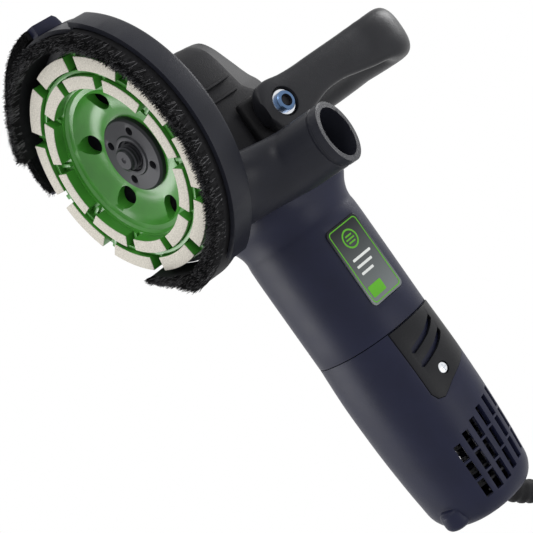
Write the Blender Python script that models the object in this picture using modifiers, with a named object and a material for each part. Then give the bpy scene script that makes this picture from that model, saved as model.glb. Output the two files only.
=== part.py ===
"""Concrete grinder with a 125 mm cup wheel, a brushed dust shroud and a bail handle.

The spindle axis is Z, through X = Y = 0. The motor axis runs along +X, from the gear head to the
tail, and the wheel's working face looks down. Heights below are measured from that working face;
the finished part is then lowered so that its origin is the centre of the spindle's flat end.
Sizes are millimetres here and metres in the meshes.
"""

import math

import bmesh
import bpy
from mathutils import Matrix, Vector

MM = 0.001
GAP = 0.3                     # clearance between pieces that touch
MERGE = 0.00002               # merge distance, m
COLLECTION = "concrete_grinder"

# Driving dimensions
WHEEL_R = 62.5                # cup wheel, 125 mm across
SEGMENT_H = 7.0               # diamond segments stand this far off the cup
SEGMENT_ROWS = ((54.4, 62.3), (44.4, 51.4))
SEGMENTS = 10                 # in each row
GAP_ANGLE = 21.0              # an outer gap is centred at this angle about the spindle
NOSE_Z = 7.0                  # flat end of the spindle; the part's origin is there
MOTOR_Z = 75.5                # height of the motor axis above the working face
BODY_HALF = 33.6              # half width of the motor housing
SHROUD_R = 80.5               # dust shroud skirt
OPENING = (-25.0, 115.0)      # edge opening in the skirt, degrees about the spindle
TRACK = (113.0, 208.5)        # the gate slides along the skirt here
BRISTLE_TIP = -8.0            # lowest point, the brush tips
NECK_R = 23.0                 # gear head neck that the shroud is clamped to
HEAD_END = 52.0               # gear head meets the motor housing
SEAM_X = 156.0                # motor housing meets the tail housing
TAIL_END = 270.5
GRIP_TOP = 185.0              # centre of the bail handle's grip
BOLT_X, BOLT_Z = 23.0, 77.0   # bail handle bolts, on a lateral axis
PORT_CENTRE = (51.0, -90.0, 61.0)
PORT_TILT = 22.7              # dust port, degrees above the horizontal
PORT_R = (13.9, 17.2)
CORD_D = 9.0

STEPS = 28


# ---------------------------------------------------------------- helpers

def clear_scene():
    for obj in list(bpy.data.objects):
        bpy.data.objects.remove(obj, do_unlink=True)


def collection(name):
    made = bpy.data.collections.new(name)
    bpy.context.scene.collection.children.link(made)
    return made


def finish_of(name, colour, roughness, metallic=0.0):
    mat = bpy.data.materials.new(name)
    mat.use_nodes = True
    shader = mat.node_tree.nodes["Principled BSDF"]
    shader.inputs["Base Color"].default_value = (*colour, 1.0)
    shader.inputs["Roughness"].default_value = roughness
    shader.inputs["Metallic"].default_value = metallic
    return mat


def add(name, mesh, finish, smooth=True):
    """A named part, or a cutter when it has no finish."""
    obj = bpy.data.objects.new(name, mesh)
    if finish is None:
        CUTTERS.objects.link(obj)
        obj.hide_render = True
        obj.display_type = "WIRE"
        return obj
    mesh.materials.append(finish)
    if smooth:
        mesh.shade_smooth()
        mesh.set_sharp_from_angle(angle=math.radians(35))
    PARTS.objects.link(obj)
    return obj


def mesh_from(bm, name):
    mesh = bpy.data.meshes.new(name)
    bm.to_mesh(mesh)
    bm.free()
    return mesh


def box(name, low, high, finish, bevel=0.0, segments=2):
    """A box between two corners."""
    bm = bmesh.new()
    bmesh.ops.create_cube(bm, size=1.0)
    low, high = Vector(low), Vector(high)
    bmesh.ops.scale(bm, vec=(high - low) * MM, verts=bm.verts)
    obj = add(name, mesh_from(bm, name), finish, smooth=bevel > 0)
    obj.location = (low + high) / 2 * MM
    if bevel:
        edge = obj.modifiers.new("edges", "BEVEL")
        edge.width = bevel * MM
        edge.segments = segments
    return obj


def rod(name, start, end, radius, finish, sides=24, end_radius=None):
    """A cylinder or cone between two points."""
    start, end = Vector(start), Vector(end)
    bm = bmesh.new()
    bmesh.ops.create_cone(
        bm, cap_ends=True, segments=sides, depth=(end - start).length * MM,
        radius1=radius * MM, radius2=(end_radius or radius) * MM)
    obj = add(name, mesh_from(bm, name), finish)
    obj.location = (start + end) / 2 * MM
    obj.rotation_euler = (end - start).to_track_quat("Z", "Y").to_euler()
    return obj


def turned(name, profile, finish, closed=True, along="Z", at=(0, 0, 0), steps=STEPS):
    """A profile of (radius, height) points turned about Z, or about X from the motor axis."""
    turns = zip(profile, profile[1:] + profile[:1])
    area = sum(r0 * h1 - r1 * h0 for (r0, h0), (r1, h1) in turns)
    points = profile if area < 0 else profile[::-1]
    mesh = bpy.data.meshes.new(name)
    edges = [(i, i + 1) for i in range(len(points) - 1)]
    if closed:
        edges.append((len(points) - 1, 0))
    mesh.from_pydata([(r * MM, 0, h * MM) for r, h in points], edges, [])
    obj = add(name, mesh, finish, smooth=False)
    obj.location = Vector(at) * MM
    if along == "X":
        obj.rotation_euler = (0, math.pi / 2, 0)
    if along == "Y":
        obj.rotation_euler = (-math.pi / 2, 0, 0)
    screw = obj.modifiers.new("turn", "SCREW")
    screw.steps = steps
    screw.render_steps = steps
    screw.use_merge_vertices = True
    screw.merge_threshold = MERGE
    screw.use_smooth_shade = finish is not None
    return obj


def ring(name, radii, span, finish, **where):
    """A plain tube between two radii."""
    (inner, outer), (low, high) = radii, span
    return turned(name, [(inner, high), (outer, high), (outer, low), (inner, low)], finish, **where)


def loft(name, rings, finish, closed=False):
    """Skin a row of equal point rings. The ends are capped, or joined when closed."""
    bm = bmesh.new()
    loops = [[bm.verts.new(Vector(p) * MM) for p in points] for points in rings]
    pairs = list(zip(loops, loops[1:]))
    if closed:
        pairs.append((loops[-1], loops[0]))
    for low, high in pairs:
        for i in range(len(low)):
            j = (i + 1) % len(low)
            bm.faces.new((low[i], low[j], high[j], high[i]))
    if not closed:
        bm.faces.new(loops[0])
        bm.faces.new(loops[-1])
    bmesh.ops.recalc_face_normals(bm, faces=bm.faces)
    return add(name, mesh_from(bm, name), finish)


def oval(half_a, half_b, power, count):
    """Points of a superellipse, from a circle (2) towards a rounded square (4)."""
    points = []
    for i in range(count):
        turn = 2 * math.pi * (i + 0.5) / count
        c, s = math.cos(turn), math.sin(turn)
        reach = (abs(c) ** power + abs(s) ** power) ** (-1 / power)
        points.append((half_a * reach * c, half_b * reach * s))
    return points


def sections(name, rows, finish, inset=0.0, count=32):
    """A body along X from rows of x, half width, bottom, top and superellipse power."""
    rings = []
    for x, half, bottom, top, power in rows:
        middle, tall = (top + bottom) / 2, (top - bottom) / 2
        shape = oval(half - inset, tall - inset, power, count)
        rings.append([(x, a, middle + b) for a, b in shape])
    return loft(name, rings, finish)


def pivot(name, at, *objects):
    """An empty on a joint's axis, with its moving pieces as children."""
    empty = bpy.data.objects.new(name, None)
    empty.location = Vector(at) * MM
    PARTS.objects.link(empty)
    for obj in objects:
        obj.parent = empty
        obj.matrix_parent_inverse = Matrix.Translation(Vector(at) * -MM)
    return empty


def boolean(target, tool, operation="DIFFERENCE"):
    step = target.modifiers.new(operation.lower(), "BOOLEAN")
    step.operation = operation
    step.object = tool
    step.solver = "EXACT"


def cut(target, *tools):
    for tool in tools:
        boolean(target, tool)


def joined(name, meshes, finish=None):
    """Several separate shapes as one object, for a cutter."""
    bm = bmesh.new()
    for obj in meshes:
        bm.from_mesh(obj.data)
        added = bm.verts[-len(obj.data.vertices):]
        bmesh.ops.transform(bm, matrix=obj.matrix_basis, verts=added)
        bpy.data.objects.remove(obj, do_unlink=True)
    return add(name, mesh_from(bm, name), finish)


def arc_points(radius, start, end, count):
    span = [math.radians(start + (end - start) * i / (count - 1)) for i in range(count)]
    return [(radius * math.cos(a), radius * math.sin(a)) for a in span]


def swept(name, profile_at, angles, finish):
    """A (radius, height) profile, which may change with the angle, swept about Z."""
    rings = []
    for angle in angles:
        turn = math.radians(angle)
        rings.append([(r * math.cos(turn), r * math.sin(turn), h) for r, h in profile_at(angle)])
    return loft(name, rings, finish)


def spread(start, end, count):
    return [start + (end - start) * i / (count - 1) for i in range(count)]


def sector(name, profile, start, end, count, finish):
    """A closed (radius, height) profile swept about Z between two angles."""
    return swept(name, lambda angle: profile, spread(start, end, count), finish)


def between(knots, at):
    """Value read from (position, value) knots by straight lines."""
    if at <= knots[0][0]:
        return knots[0][1]
    for (p0, v0), (p1, v1) in zip(knots, knots[1:]):
        if at <= p1:
            return v0 + (v1 - v0) * (at - p0) / (p1 - p0)
    return knots[-1][1]


def curve_through(points, step):
    """A smooth curve through the points, read about every step millimetres."""
    points = [Vector(p) for p in points]
    ends = [2 * points[0] - points[1], *points, 2 * points[-1] - points[-2]]
    dense = []
    for a, b, c, d in zip(ends, ends[1:], ends[2:], ends[3:]):
        for k in range(20):
            t = k / 20
            dense.append(0.5 * (2 * b + (c - a) * t + (2 * a - 5 * b + 4 * c - d) * t * t
                                + (3 * b - a - 3 * c + d) * t ** 3))
    dense.append(points[-1])
    kept, run = [dense[0]], 0.0
    for before, here in zip(dense, dense[1:]):
        run += (here - before).length
        if run >= step:
            kept.append(here)
            run = 0.0
    if (kept[-1] - points[-1]).length < step / 2:
        kept.pop()
    return kept + [points[-1]]


def tube(name, points, diameter, finish, resolution=2):
    """A round cord along the points, as a capped poly spline."""
    data = bpy.data.curves.new(name, "CURVE")
    data.dimensions = "3D"
    data.bevel_depth = diameter / 2 * MM
    data.bevel_resolution = resolution
    data.use_fill_caps = True
    line = data.splines.new("POLY")
    line.points.add(len(points) - 1)
    for knot, point in zip(line.points, points):
        knot.co = (*(Vector(point) * MM), 1.0)
    data.materials.append(finish)
    obj = bpy.data.objects.new(name, data)
    PARTS.objects.link(obj)
    return obj


def plate(name, outline, low, high, finish):
    """A flat outline in X and Z, extruded along Y between low and high."""
    data = bpy.data.curves.new(name, "CURVE")
    data.dimensions = "2D"
    data.fill_mode = "BOTH"
    data.extrude = (high - low) / 2 * MM
    line = data.splines.new("POLY")
    line.points.add(len(outline) - 1)
    for knot, (x, z) in zip(line.points, outline):
        knot.co = (x * MM, z * MM, 0, 1.0)
    line.use_cyclic_u = True
    flat = bpy.data.objects.new(name + "_outline", data)
    PARTS.objects.link(flat)
    graph = bpy.context.evaluated_depsgraph_get()
    mesh = bpy.data.meshes.new_from_object(flat.evaluated_get(graph))
    bm = bmesh.new()
    bm.from_mesh(mesh)
    bmesh.ops.remove_doubles(bm, verts=bm.verts, dist=MERGE)
    turn = Matrix.Rotation(math.pi / 2, 4, "X")
    bmesh.ops.transform(bm, matrix=turn, verts=bm.verts)
    bmesh.ops.translate(bm, vec=(0, (low + high) / 2 * MM, 0), verts=bm.verts)
    bmesh.ops.recalc_face_normals(bm, faces=bm.faces)
    bpy.data.objects.remove(flat, do_unlink=True)
    return add(name, mesh_from(bm, name), finish, smooth=False)


def rounded(low, high, radius, per_corner=4):
    """Outline of a rectangle with round corners."""
    (x0, z0), (x1, z1) = low, high
    centres = ((x1 - radius, z1 - radius, 0), (x0 + radius, z1 - radius, 90),
               (x0 + radius, z0 + radius, 180), (x1 - radius, z0 + radius, 270))
    points = []
    for cx, cz, start in centres:
        points += [(cx + a, cz + b) for a, b in arc_points(radius, start, start + 90, per_corner)]
    return points


# ---------------------------------------------------------------- cup wheel and spindle

def cup_wheel():
    profile = [(11.15, 22.0), (29.0, 22.0), (34.0, 20.0), (52.0, 12.6), (58.0, 11.4), (WHEEL_R, 11.0),
               (WHEEL_R, 7.3), (43.6, 7.3), (41.5, 9.0), (36.0, 14.6), (29.0, 17.6), (11.15, 17.6)]
    cup = turned("cup_wheel", profile, GREEN, steps=40)
    holes = []
    for k in range(6):
        turn = math.radians(62 + 60 * k)
        x, y = 33.2 * math.cos(turn), 33.2 * math.sin(turn)
        holes.append(rod("hole", (x, y, 4), (x, y, 30), 5.8, None, sides=16))
    cut(cup, joined("cup_hole_cutter", holes))


def diamond_segments():
    """Two staggered rows of segments, standing on the thin seat that they are brazed to."""
    (outer_in, outer_out), (inner_in, inner_out) = SEGMENT_ROWS
    rows = ring("diamond_segments", (inner_in, outer_out), (0.0, SEGMENT_H), SEGMENT, steps=40)
    seat = SEGMENT_H - 0.9
    groove = ring("segment_groove_cutter", (inner_out, outer_in), (-2, seat), None, steps=40)
    gaps = []
    for row, (low, high) in enumerate(((53.0, 66.0), (41.0, 52.9))):
        for k in range(SEGMENTS):
            turn = math.radians(GAP_ANGLE + 36 * k + 18 * row)
            middle = (low + high) / 2
            width = 7.0 if row == 0 else 5.4
            gap = box("gap", (-(high - low) / 2, -width / 2, -2), ((high - low) / 2, width / 2, seat), None)
            gap.matrix_basis = Matrix.Rotation(turn, 4, "Z") @ Matrix.Translation(
                Vector((middle, 0, (seat - 2) / 2)) * MM)
            gaps.append(gap)
    cut(rows, groove, joined("segment_gap_cutter", gaps))


def spindle_parts():
    turned("spindle", [(0, 91.5), (5.0, 91.5), (5.0, 82.5), (8.0, 82.5), (8.0, 51.4), (10.4, 51.4),
                       (10.4, 50.6), (8.5, 50.6), (8.5, 39.6), (11.0, 39.6), (11.0, 27.4), (6.9, 27.4),
                       (6.9, 7.8), (6.2, NOSE_Z), (0, NOSE_Z)], STEEL, closed=False, steps=20)
    turned("inner_flange", [(7.3, 27.1), (19.0, 27.1), (19.0, 22.3), (10.8, 22.3), (10.8, 18.4), (7.3, 18.4)],
           STEEL, steps=24)
    nut = turned("flange_nut", [(7.3, 17.3), (21.0, 17.3), (21.0, 14.0), (20.0, 13.0), (7.3, 13.0)],
                 DARK_STEEL, steps=28)
    holes = []
    for k in range(4):
        turn = math.radians(44.5 + 90 * k)
        x, y = 15.0 * math.cos(turn), 15.0 * math.sin(turn)
        holes.append(rod("hole", (x, y, 10), (x, y, 16), 2.4, None, sides=12))
    cut(nut, joined("nut_hole_cutter", holes))
    ring("lower_bearing", (8.8, 16.0), (39.9, 50.3), STEEL, steps=24)
    ring("upper_bearing", (5.3, 8.4), (85.0, 91.6), STEEL, steps=16)


def tooth_ring(count, at_tooth, at_gap):
    """One value per point round a gear: gap, tooth, tooth, gap for each tooth."""
    return [at_gap, at_tooth, at_tooth, at_gap] * count


def crown_gear():
    """Face gear on the spindle; its pitch cone points at the motor axis."""
    teeth = 24
    steps = teeth * 4
    shares = (0.12, 0.36, 0.64, 0.88)
    turns = [2 * math.pi * ((i // 4) + shares[i % 4]) / teeth for i in range(steps)]

    def circle(radius, heights):
        return [(radius * math.cos(t), radius * math.sin(t), h) for t, h in zip(turns, heights)]

    pitch = {r: MOTOR_Z - r / 3 for r in (14.0, 24.0)}
    outer = tooth_ring(teeth, pitch[24.0] + 0.9, pitch[24.0] - 1.6)
    inner = tooth_ring(teeth, pitch[14.0] + 0.6, pitch[14.0] - 1.3)
    flat = [55.0] * steps
    hub = [68.5] * steps
    gear = loft("crown_gear", [circle(24.0, flat), circle(24.0, outer), circle(14.0, inner),
                               circle(8.4, hub), circle(8.4, flat)], STEEL, closed=True)
    for k in range(2):
        turn = math.radians(180 * k + 180)
        x, y = 17.0 * math.cos(turn), 17.0 * math.sin(turn)
        cut(gear, rod(f"lock_hole_cutter_{k}", (x, y, 64.0), (x, y, 80.0), 2.9, None, sides=12))


def pinion():
    """Eight-tooth bevel pinion; one tooth points straight down into a gap of the crown gear."""
    teeth = 8
    shares = (0.14, 0.38, 0.62, 0.86)

    def section(x):
        pitch = x / 3
        tooth, gap = pitch * 1.10, pitch * 0.72
        points = []
        for i in range(teeth * 4):
            turn = 2 * math.pi * ((i // 4) + shares[i % 4] - 0.5) / teeth - math.pi / 2
            radius = (gap, tooth, tooth, gap)[i % 4]
            points.append((x, radius * math.cos(turn), MOTOR_Z + radius * math.sin(turn)))
        return points

    def bore(x):
        turns = [2 * math.pi * (i + 0.5) / (teeth * 4) - math.pi / 2 for i in range(teeth * 4)]
        return [(x, 2.9 * math.cos(t), MOTOR_Z + 2.9 * math.sin(t)) for t in turns]

    loft("pinion", [section(15.5), section(23.5), bore(23.5), bore(15.5)], STEEL, closed=True)


# ---------------------------------------------------------------- motor

def on_motor(name, profile, finish, **more):
    return turned(name, profile, finish, along="X", at=(0, 0, MOTOR_Z), **more)


def motor_ring(name, radii, span, finish, steps=24):
    return ring(name, radii, span, finish, along="X", at=(0, 0, MOTOR_Z), steps=steps)


def motor():
    on_motor("armature_shaft", [(0, 188.0), (3.9, 188.0), (3.9, 24.2), (2.6, 24.2), (2.6, 14.6), (0, 14.6)],
             STEEL, closed=False, steps=16)
    motor_ring("armature_core", (4.2, 17.5), (96, 138), STEEL)
    motor_ring("commutator", (4.2, 12.0), (151, 167), COPPER, steps=20)
    motor_ring("front_bearing", (4.2, 11.0), (42.4, 51.6), STEEL, steps=16)
    motor_ring("rear_bearing", (4.2, 9.5), (176, 185), STEEL, steps=16)
    motor_ring("stator", (18.4, 25.2), (94, 140), STEEL)
    fan = motor_ring("cooling_fan", (4.2, 26.0), (64, 66), DARK_PLASTIC)
    blades = []
    for k in range(9):
        turn = Matrix.Rotation(2 * math.pi * k / 9, 4, "X")
        blade = box("blade", (65.5, -0.9, 9), (72, 0.9, 25.5), None)
        blade.matrix_basis = Matrix.Translation((0, 0, MOTOR_Z * MM)) @ turn @ blade.matrix_basis
        blades.append(blade)
    boolean(fan, joined("fan_blades", blades), "UNION")
    motor_ring("bearing_plate_front", (11.4, 29.2), (46.0, 51.6), CAST)
    motor_ring("bearing_plate_rear", (9.9, 25.0), (174, 186), DARK_PLASTIC)


def carbon_brushes():
    for side, name in ((-1, "left"), (1, "right")):
        low, high = sorted((side * 12.4, side * 24.0))
        box(f"carbon_brush_{name}", (155.5, low, MOTOR_Z - 4), (162.5, high, MOTOR_Z + 4), CARBON)
        low, high = sorted((side * 14.5, side * 28.6))
        holder = box(f"brush_holder_{name}", (153, low, MOTOR_Z - 6.5), (165, high, MOTOR_Z + 6.5), BRASS, 1.0, 1)
        low, high = sorted((side * 13.0, side * 24.3))
        cut(holder, box(f"brush_slot_{name}", (155.2, low, MOTOR_Z - 4.3), (162.8, high, MOTOR_Z + 4.3), None))


# ---------------------------------------------------------------- gear head

# x, half width, bottom, top of the side wall, roof, half width of the roof
HEAD_ROWS = (
    (-32.0, 15.0, 46.0, 66.0, 80.0, 5.0), (-30.0, 19.0, 43.0, 72.0, 86.5, 8.0),
    (-24.0, 24.5, 41.0, 74.5, 90.5, 10.0), (-14.0, 28.5, 40.0, 75.0, 94.5, 11.0),
    (-2.0, 31.0, 40.0, 75.5, 99.0, 12.0), (4.0, 32.0, 40.0, 77.0, 102.5, 12.5),
    (12.0, 34.2, 40.0, 84.0, 105.5, 12.5), (18.0, 35.3, 40.0, 88.5, 107.5, 13.5),
    (34.0, 35.5, 40.0, 97.0, 110.5, 19.0), (HEAD_END, 35.8, 39.7, 101.5, 111.3, 23.5),
)
CAVITY_ROWS = (
    (-26.5, 17.0, 30.0, 66.0, 78.0, 6.0), (-20.0, 22.6, 30.0, 70.0, 83.0, 8.0),
    (-12.0, 25.0, 30.0, 72.0, 87.0, 9.0), (0.0, 27.4, 30.0, 73.0, 92.5, 10.0),
    (12.0, 30.0, 30.0, 78.0, 98.5, 11.0), (38.0, 31.0, 30.0, 90.0, 104.0, 15.0),
)
SCREW_CORNERS = [(sy * 27.6, sz * 27.6) for sy in (-1, 1) for sz in (-1, 1)]


def head_ring(x, half, bottom, wall, roof, crest):
    """Section of the casting: upright sides, then a chamfered roof."""
    side = [(half - 4, bottom), (half - 1, bottom + 1.2), (half, bottom + 4), (half, wall - 4), (half - 0.7, wall),
            (half - 2.6, wall + 2.2), (crest + 3, roof - 1.6), (crest - 2, roof)]
    return [Vector((x, y, z)) for y, z in side] + [Vector((x, -y, z)) for y, z in reversed(side)]


def gear_head():
    head = loft("gearbox_housing", [head_ring(*row) for row in HEAD_ROWS], CAST)
    cavity = loft("gearbox_cavity", [head_ring(*row) for row in CAVITY_ROWS], None)
    boss = rod("bearing_boss", (0, 0, 84.6), (0, 0, 115), 11.0, None, sides=20)
    cut(cavity, boss)
    cut(head, cavity)
    floor = box("pot_floor", (-40, -40, 26), (36, 40, 40.0), None)
    cut(head, floor)
    cut(head, rod("gearbox_rear_bore", (30, 0, MOTOR_Z), (60, 0, MOTOR_Z), 29.5, None, sides=28))
    cut(head, rod("upper_bearing_bore", (0, 0, 80), (0, 0, 92.2), 8.7, None, sides=24))
    cut(head, rod("button_bore", (-17, 0, 86.6), (-17, 0, 120), 7.0, None, sides=20))
    cut(head, rod("lock_pin_bore", (-17, 0, 76), (-17, 0, 90), 2.6, None, sides=12))
    pockets = []
    shanks = []
    for y, z in SCREW_CORNERS:
        pockets.append(rod("pocket", (38, y, MOTOR_Z + z), (47.4, y, MOTOR_Z + z), 4.0, None, sides=16))
        shanks.append(rod("shank", (46, y, MOTOR_Z + z), (60, y, MOTOR_Z + z), 2.2, None, sides=12))
    cut(head, joined("screw_pocket_cutter", pockets), joined("screw_hole_cutter", shanks))
    cut(head, rod("handle_bolt_bore", (BOLT_X, -45, BOLT_Z), (BOLT_X, 45, BOLT_Z), 4.3, None, sides=16))
    for i, (y, z) in enumerate(SCREW_CORNERS):
        turned(f"gearbox_screw_{i + 1}",
               [(0, 43.6), (3.4, 43.6), (3.4, 47.1), (1.9, 47.1), (1.9, 62.0), (0, 62.0)], STEEL,
               closed=False, along="X", at=(0, y, MOTOR_Z + z), steps=10)
    neck = [(16.3, 50.2), (19.6, 50.2), (19.6, 39.7), (33.5, 39.7), (33.5, 36.4), (NECK_R, 36.4),
            (NECK_R, 27.5), (20.0, 27.5), (20.0, 35.5), (13.0, 35.5), (13.0, 39.6), (16.3, 39.6)]
    turned("neck_flange", neck, CAST)


def spindle_lock():
    turned("lock_button", [(0, 97.6), (5.0, 97.6), (6.5, 96.1), (6.5, 90.4), (2.2, 90.4), (2.2, 72.6),
                           (0, 72.6)], DARK_PLASTIC, closed=False, at=(-17, 0, 0), steps=20)
    ring("lock_spring", (3.0, 5.0), (86.9, 90.1), STEEL, at=(-17, 0, 0), steps=16)


# ---------------------------------------------------------------- motor and tail housings

MOTOR_ROWS = (
    (HEAD_END + GAP, 35.8, 39.7, 111.3, 4.0), (64.0, 35.9, 39.6, 111.4, 3.8), (71.0, 35.3, 40.2, 110.8, 3.2),
    (77.0, 33.8, 41.7, 109.3, 2.6), (84.0, 33.0, 42.5, 108.5, 2.3), (96.0, 33.5, 42.0, 109.0, 2.3),
    (SEAM_X - GAP, 33.5, 42.0, 109.0, 2.3),
)


def tail_row(x, half):
    return (x, half, MOTOR_Z - half, MOTOR_Z + half, 2.3)


TAIL_ROWS = (
    tail_row(SEAM_X, 33.5), tail_row(180, 34.5), tail_row(202, 34.4), tail_row(220, 33.9), tail_row(240, 32.8),
    tail_row(252, 31.8), tail_row(260, 31.0), tail_row(265, 29.2), tail_row(268.5, 26.8), tail_row(TAIL_END, 24.4),
)
LABEL = ((92.5, 61.8), (140.5, 88.2))
COVER = ((156.6, 59.8), (200.0, 100.0))


def motor_housing():
    body = sections("motor_housing", MOTOR_ROWS, NAVY)
    inside = [(x, half, bottom, top, power) for x, half, bottom, top, power in MOTOR_ROWS]
    inside[0] = (HEAD_END - 3, *inside[0][1:])
    inside[-1] = (SEAM_X + 3, *inside[-1][1:])
    cut(body, sections("motor_cavity", inside, None, inset=3.4, count=24))
    shanks = [rod("shank", (45, y, MOTOR_Z + z), (65, y, MOTOR_Z + z), 2.2, None, sides=12)
              for y, z in SCREW_CORNERS]
    cut(body, joined("housing_screw_bores", shanks))
    cut(body, box("switch_pocket", (96, -8.4, 106.6), (150, 8.4, 118), None))
    cut(body, box("switch_slot", (108, -3.4, 98), (131, 3.4, 110), None))
    for side, name in ((-1, "left"), (1, "right")):
        low, high = sorted((side * 31.7, side * 40))
        cut(body, plate(f"label_pocket_{name}", rounded(*LABEL, 3.2), low, high, None))
        grown = ((LABEL[0][0] + GAP, LABEL[0][1] + GAP), (LABEL[1][0] - GAP, LABEL[1][1] - GAP))
        low, high = sorted((side * 32.0, side * 32.9))
        plate(f"label_plate_{name}", rounded(*grown, 3.0), low, high, LABEL_BLACK)


def switch():
    grip = box("switch_slider", (104, -8.0, 106.9), (146, 8.0, 111.6), DARK_PLASTIC, 1.2)
    ribs = [box("rib", (107 + 8.5 * k, -6.5, 110.5), (111.5 + 8.5 * k, 6.5, 113.2), None, 0.0)
            for k in range(4)]
    boolean(grip, joined("switch_ribs", ribs), "UNION")
    boolean(grip, box("switch_stem", (119, -3.0, 103.0), (127, 3.0, 107.5), None), "UNION")
    box("switch_rod", (112, -3.0, 101.2), (201.5, 3.0, 102.7), STEEL)
    box("switch_module", (202, -8, 82), (220, 8, 101.9), DARK_PLASTIC, 0.8, 1)


def cover_outline(grow):
    """Carbon brush cover, seen from the side: a rectangle whose rear corners are cut back."""
    (x0, z0), (x1, z1) = COVER
    corners = ((x0 - grow, z1 + grow), (x0 - grow, z0 - grow), (x1 - 4, z0 - grow), (x1 + grow, z0 + 2 - grow),
               (x1 + 1.4 + grow, z0 + 6), (x1 - 3 + grow, z0 + 16), (x1 - 6.4 + grow, z0 + 28),
               (x1 - 9.5 + grow, z1 - 2 + grow), (x1 - 13, z1 + grow))
    return corners


def tail_housing():
    tail = sections("tail_housing", TAIL_ROWS, NAVY)
    inside = [row for row in TAIL_ROWS[:-1]]
    inside[0] = (SEAM_X - 3, *inside[0][1:])
    cut(tail, sections("tail_cavity", inside, None, inset=3.4, count=24))
    rows = ((-34, 226.5, 260.0), (-20.5, 223.0, 260.0), (-7, 220.0, 259.5), (7, 217.5, 257.5),
            (21.5, 216.0, 256.0), (36, 214.5, 254.5))
    for side, name in ((-1, "left"), (1, "right")):
        slots = []
        for angle, start, end in rows:
            width = (end - start - 2.6) / 3
            turn = Matrix.Rotation(math.radians(side * angle), 4, "X")
            for k in range(3):
                x = start + k * (width + 1.3)
                low, high = sorted((side * 26, side * 40))
                slot = box("slot", (x, low, -2.2), (x + width, high, 2.2), None)
                slot.matrix_basis = Matrix.Translation((0, 0, MOTOR_Z * MM)) @ turn @ slot.matrix_basis
                slots.append(slot)
        cut(tail, joined(f"vent_cutter_{name}", slots))
    cut(tail, rod("cord_bore", (262, 0, 90.4), (280, 0, 90.4), 8.1, None, sides=20))
    foot = rod("tail_foot", (256, -3, 47.5), (268.5, -3, 47.5), 8.0, None, sides=20)
    corner = foot.modifiers.new("round", "BEVEL")
    corner.width = 4.0 * MM
    corner.segments = 3
    corner.angle_limit = math.radians(60)
    boolean(tail, foot, "UNION")
    for side, name in ((-1, "left"), (1, "right")):
        low, high = sorted((side * 15, side * 50))
        pocket = plate(f"cover_pocket_{name}", cover_outline(GAP), low, high, None)
        cut(pocket, sections(f"pocket_floor_{name}", wide_tail(), None, inset=2.2))
        cut(tail, pocket)
        cover = plate(f"brush_cover_{name}", cover_outline(0.0), low, high, DARK_PLASTIC)
        boolean(cover, sections(f"cover_face_{name}", wide_tail(), None, inset=-0.25), "INTERSECT")
        cut(cover, sections(f"cover_back_{name}", wide_tail(), None, inset=1.9))
        for k in range(2):
            slot = box(f"cover_slot_{name}_{k}", (-1.5, -8, -13), (1.5, 8, 13), None)
            slot.location = Vector((168.5 + 9 * k, side * 33, MOTOR_Z + 1.5)) * MM
            slot.rotation_euler = (0, math.radians(-12), 0)
            cut(cover, slot)
        hole = rod(f"cover_screw_cutter_{name}", (189, side * 20, MOTOR_Z), (189, side * 50, MOTOR_Z), 3.7, None,
                   sides=16)
        cut(cover, hole)
        cut(tail, rod(f"screw_bore_{name}", (189, side * 20, MOTOR_Z), (189, side * 40, MOTOR_Z), 1.9, None,
                      sides=12))
        screw = [(0, 34.9), (3.2, 34.9), (3.2, 32.9), (1.6, 32.9), (1.6, 24), (0, 24)]
        turned(f"cover_screw_{name}", [(r, side * h) for r, h in screw], STEEL, closed=False, along="Y",
               at=(189, 0, MOTOR_Z), steps=12)


def wide_tail():
    """The tail's rows from well ahead of the seam, to shape the cover and its pocket."""
    return (tail_row(140, 33.5), *TAIL_ROWS[1:])


# ---------------------------------------------------------------- dust shroud

def port_point(back, drop=0.0):
    """A point on the port axis, so far back from its mouth."""
    tilt = math.radians(PORT_TILT)
    x, y, z = PORT_CENTRE
    return Vector((x, y + back * math.cos(tilt), z - back * math.sin(tilt) - drop))


def port_circle(back, radius, count=20):
    tilt = math.radians(PORT_TILT)
    centre = port_point(back)
    up = Vector((0, math.sin(tilt), math.cos(tilt)))
    side = Vector((1, 0, 0))
    turns = [2 * math.pi * i / count for i in range(count)]
    return [centre + side * radius * math.cos(t) + up * radius * math.sin(t) for t in turns]


def duct_rings(inset):
    small, big = PORT_R
    radius = small if inset else big
    start = -2.0 if inset else 0.0
    rings = [port_circle(start, radius), port_circle(26, radius)]
    foot = duct_oval(16.0, 13.0 - inset, 22.0 - inset)
    low = duct_oval(8.0 if inset else 13.5, 13.0 - inset, 22.0 - inset)
    between = [port_circle(26, radius)[i].lerp(foot[i], 0.5) for i in range(len(foot))]
    tuck = Vector((0, 4.5, 1.5))
    rings.append([p + tuck for p in between])
    return rings + [foot, low]


def duct_oval(height, across, along, count=20):
    """Foot of the duct, with its points in the same order as the port's circle."""
    centre = Vector((46.5, -46.0, height))
    out = Vector((0.711, -0.703, 0))
    tangent = Vector((0.703, 0.711, 0))
    points = []
    for i in range(count):
        t = 2 * math.pi * i / count
        flat = Vector((math.cos(t), math.sin(t)))
        # the circle's side stays +X and its top turns to +Y as the duct bends down
        radial = flat.x * out.x + flat.y * out.y
        turning = flat.x * tangent.x + flat.y * tangent.y
        points.append(centre + out * across * radial + tangent * along * turning)
    return points


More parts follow.
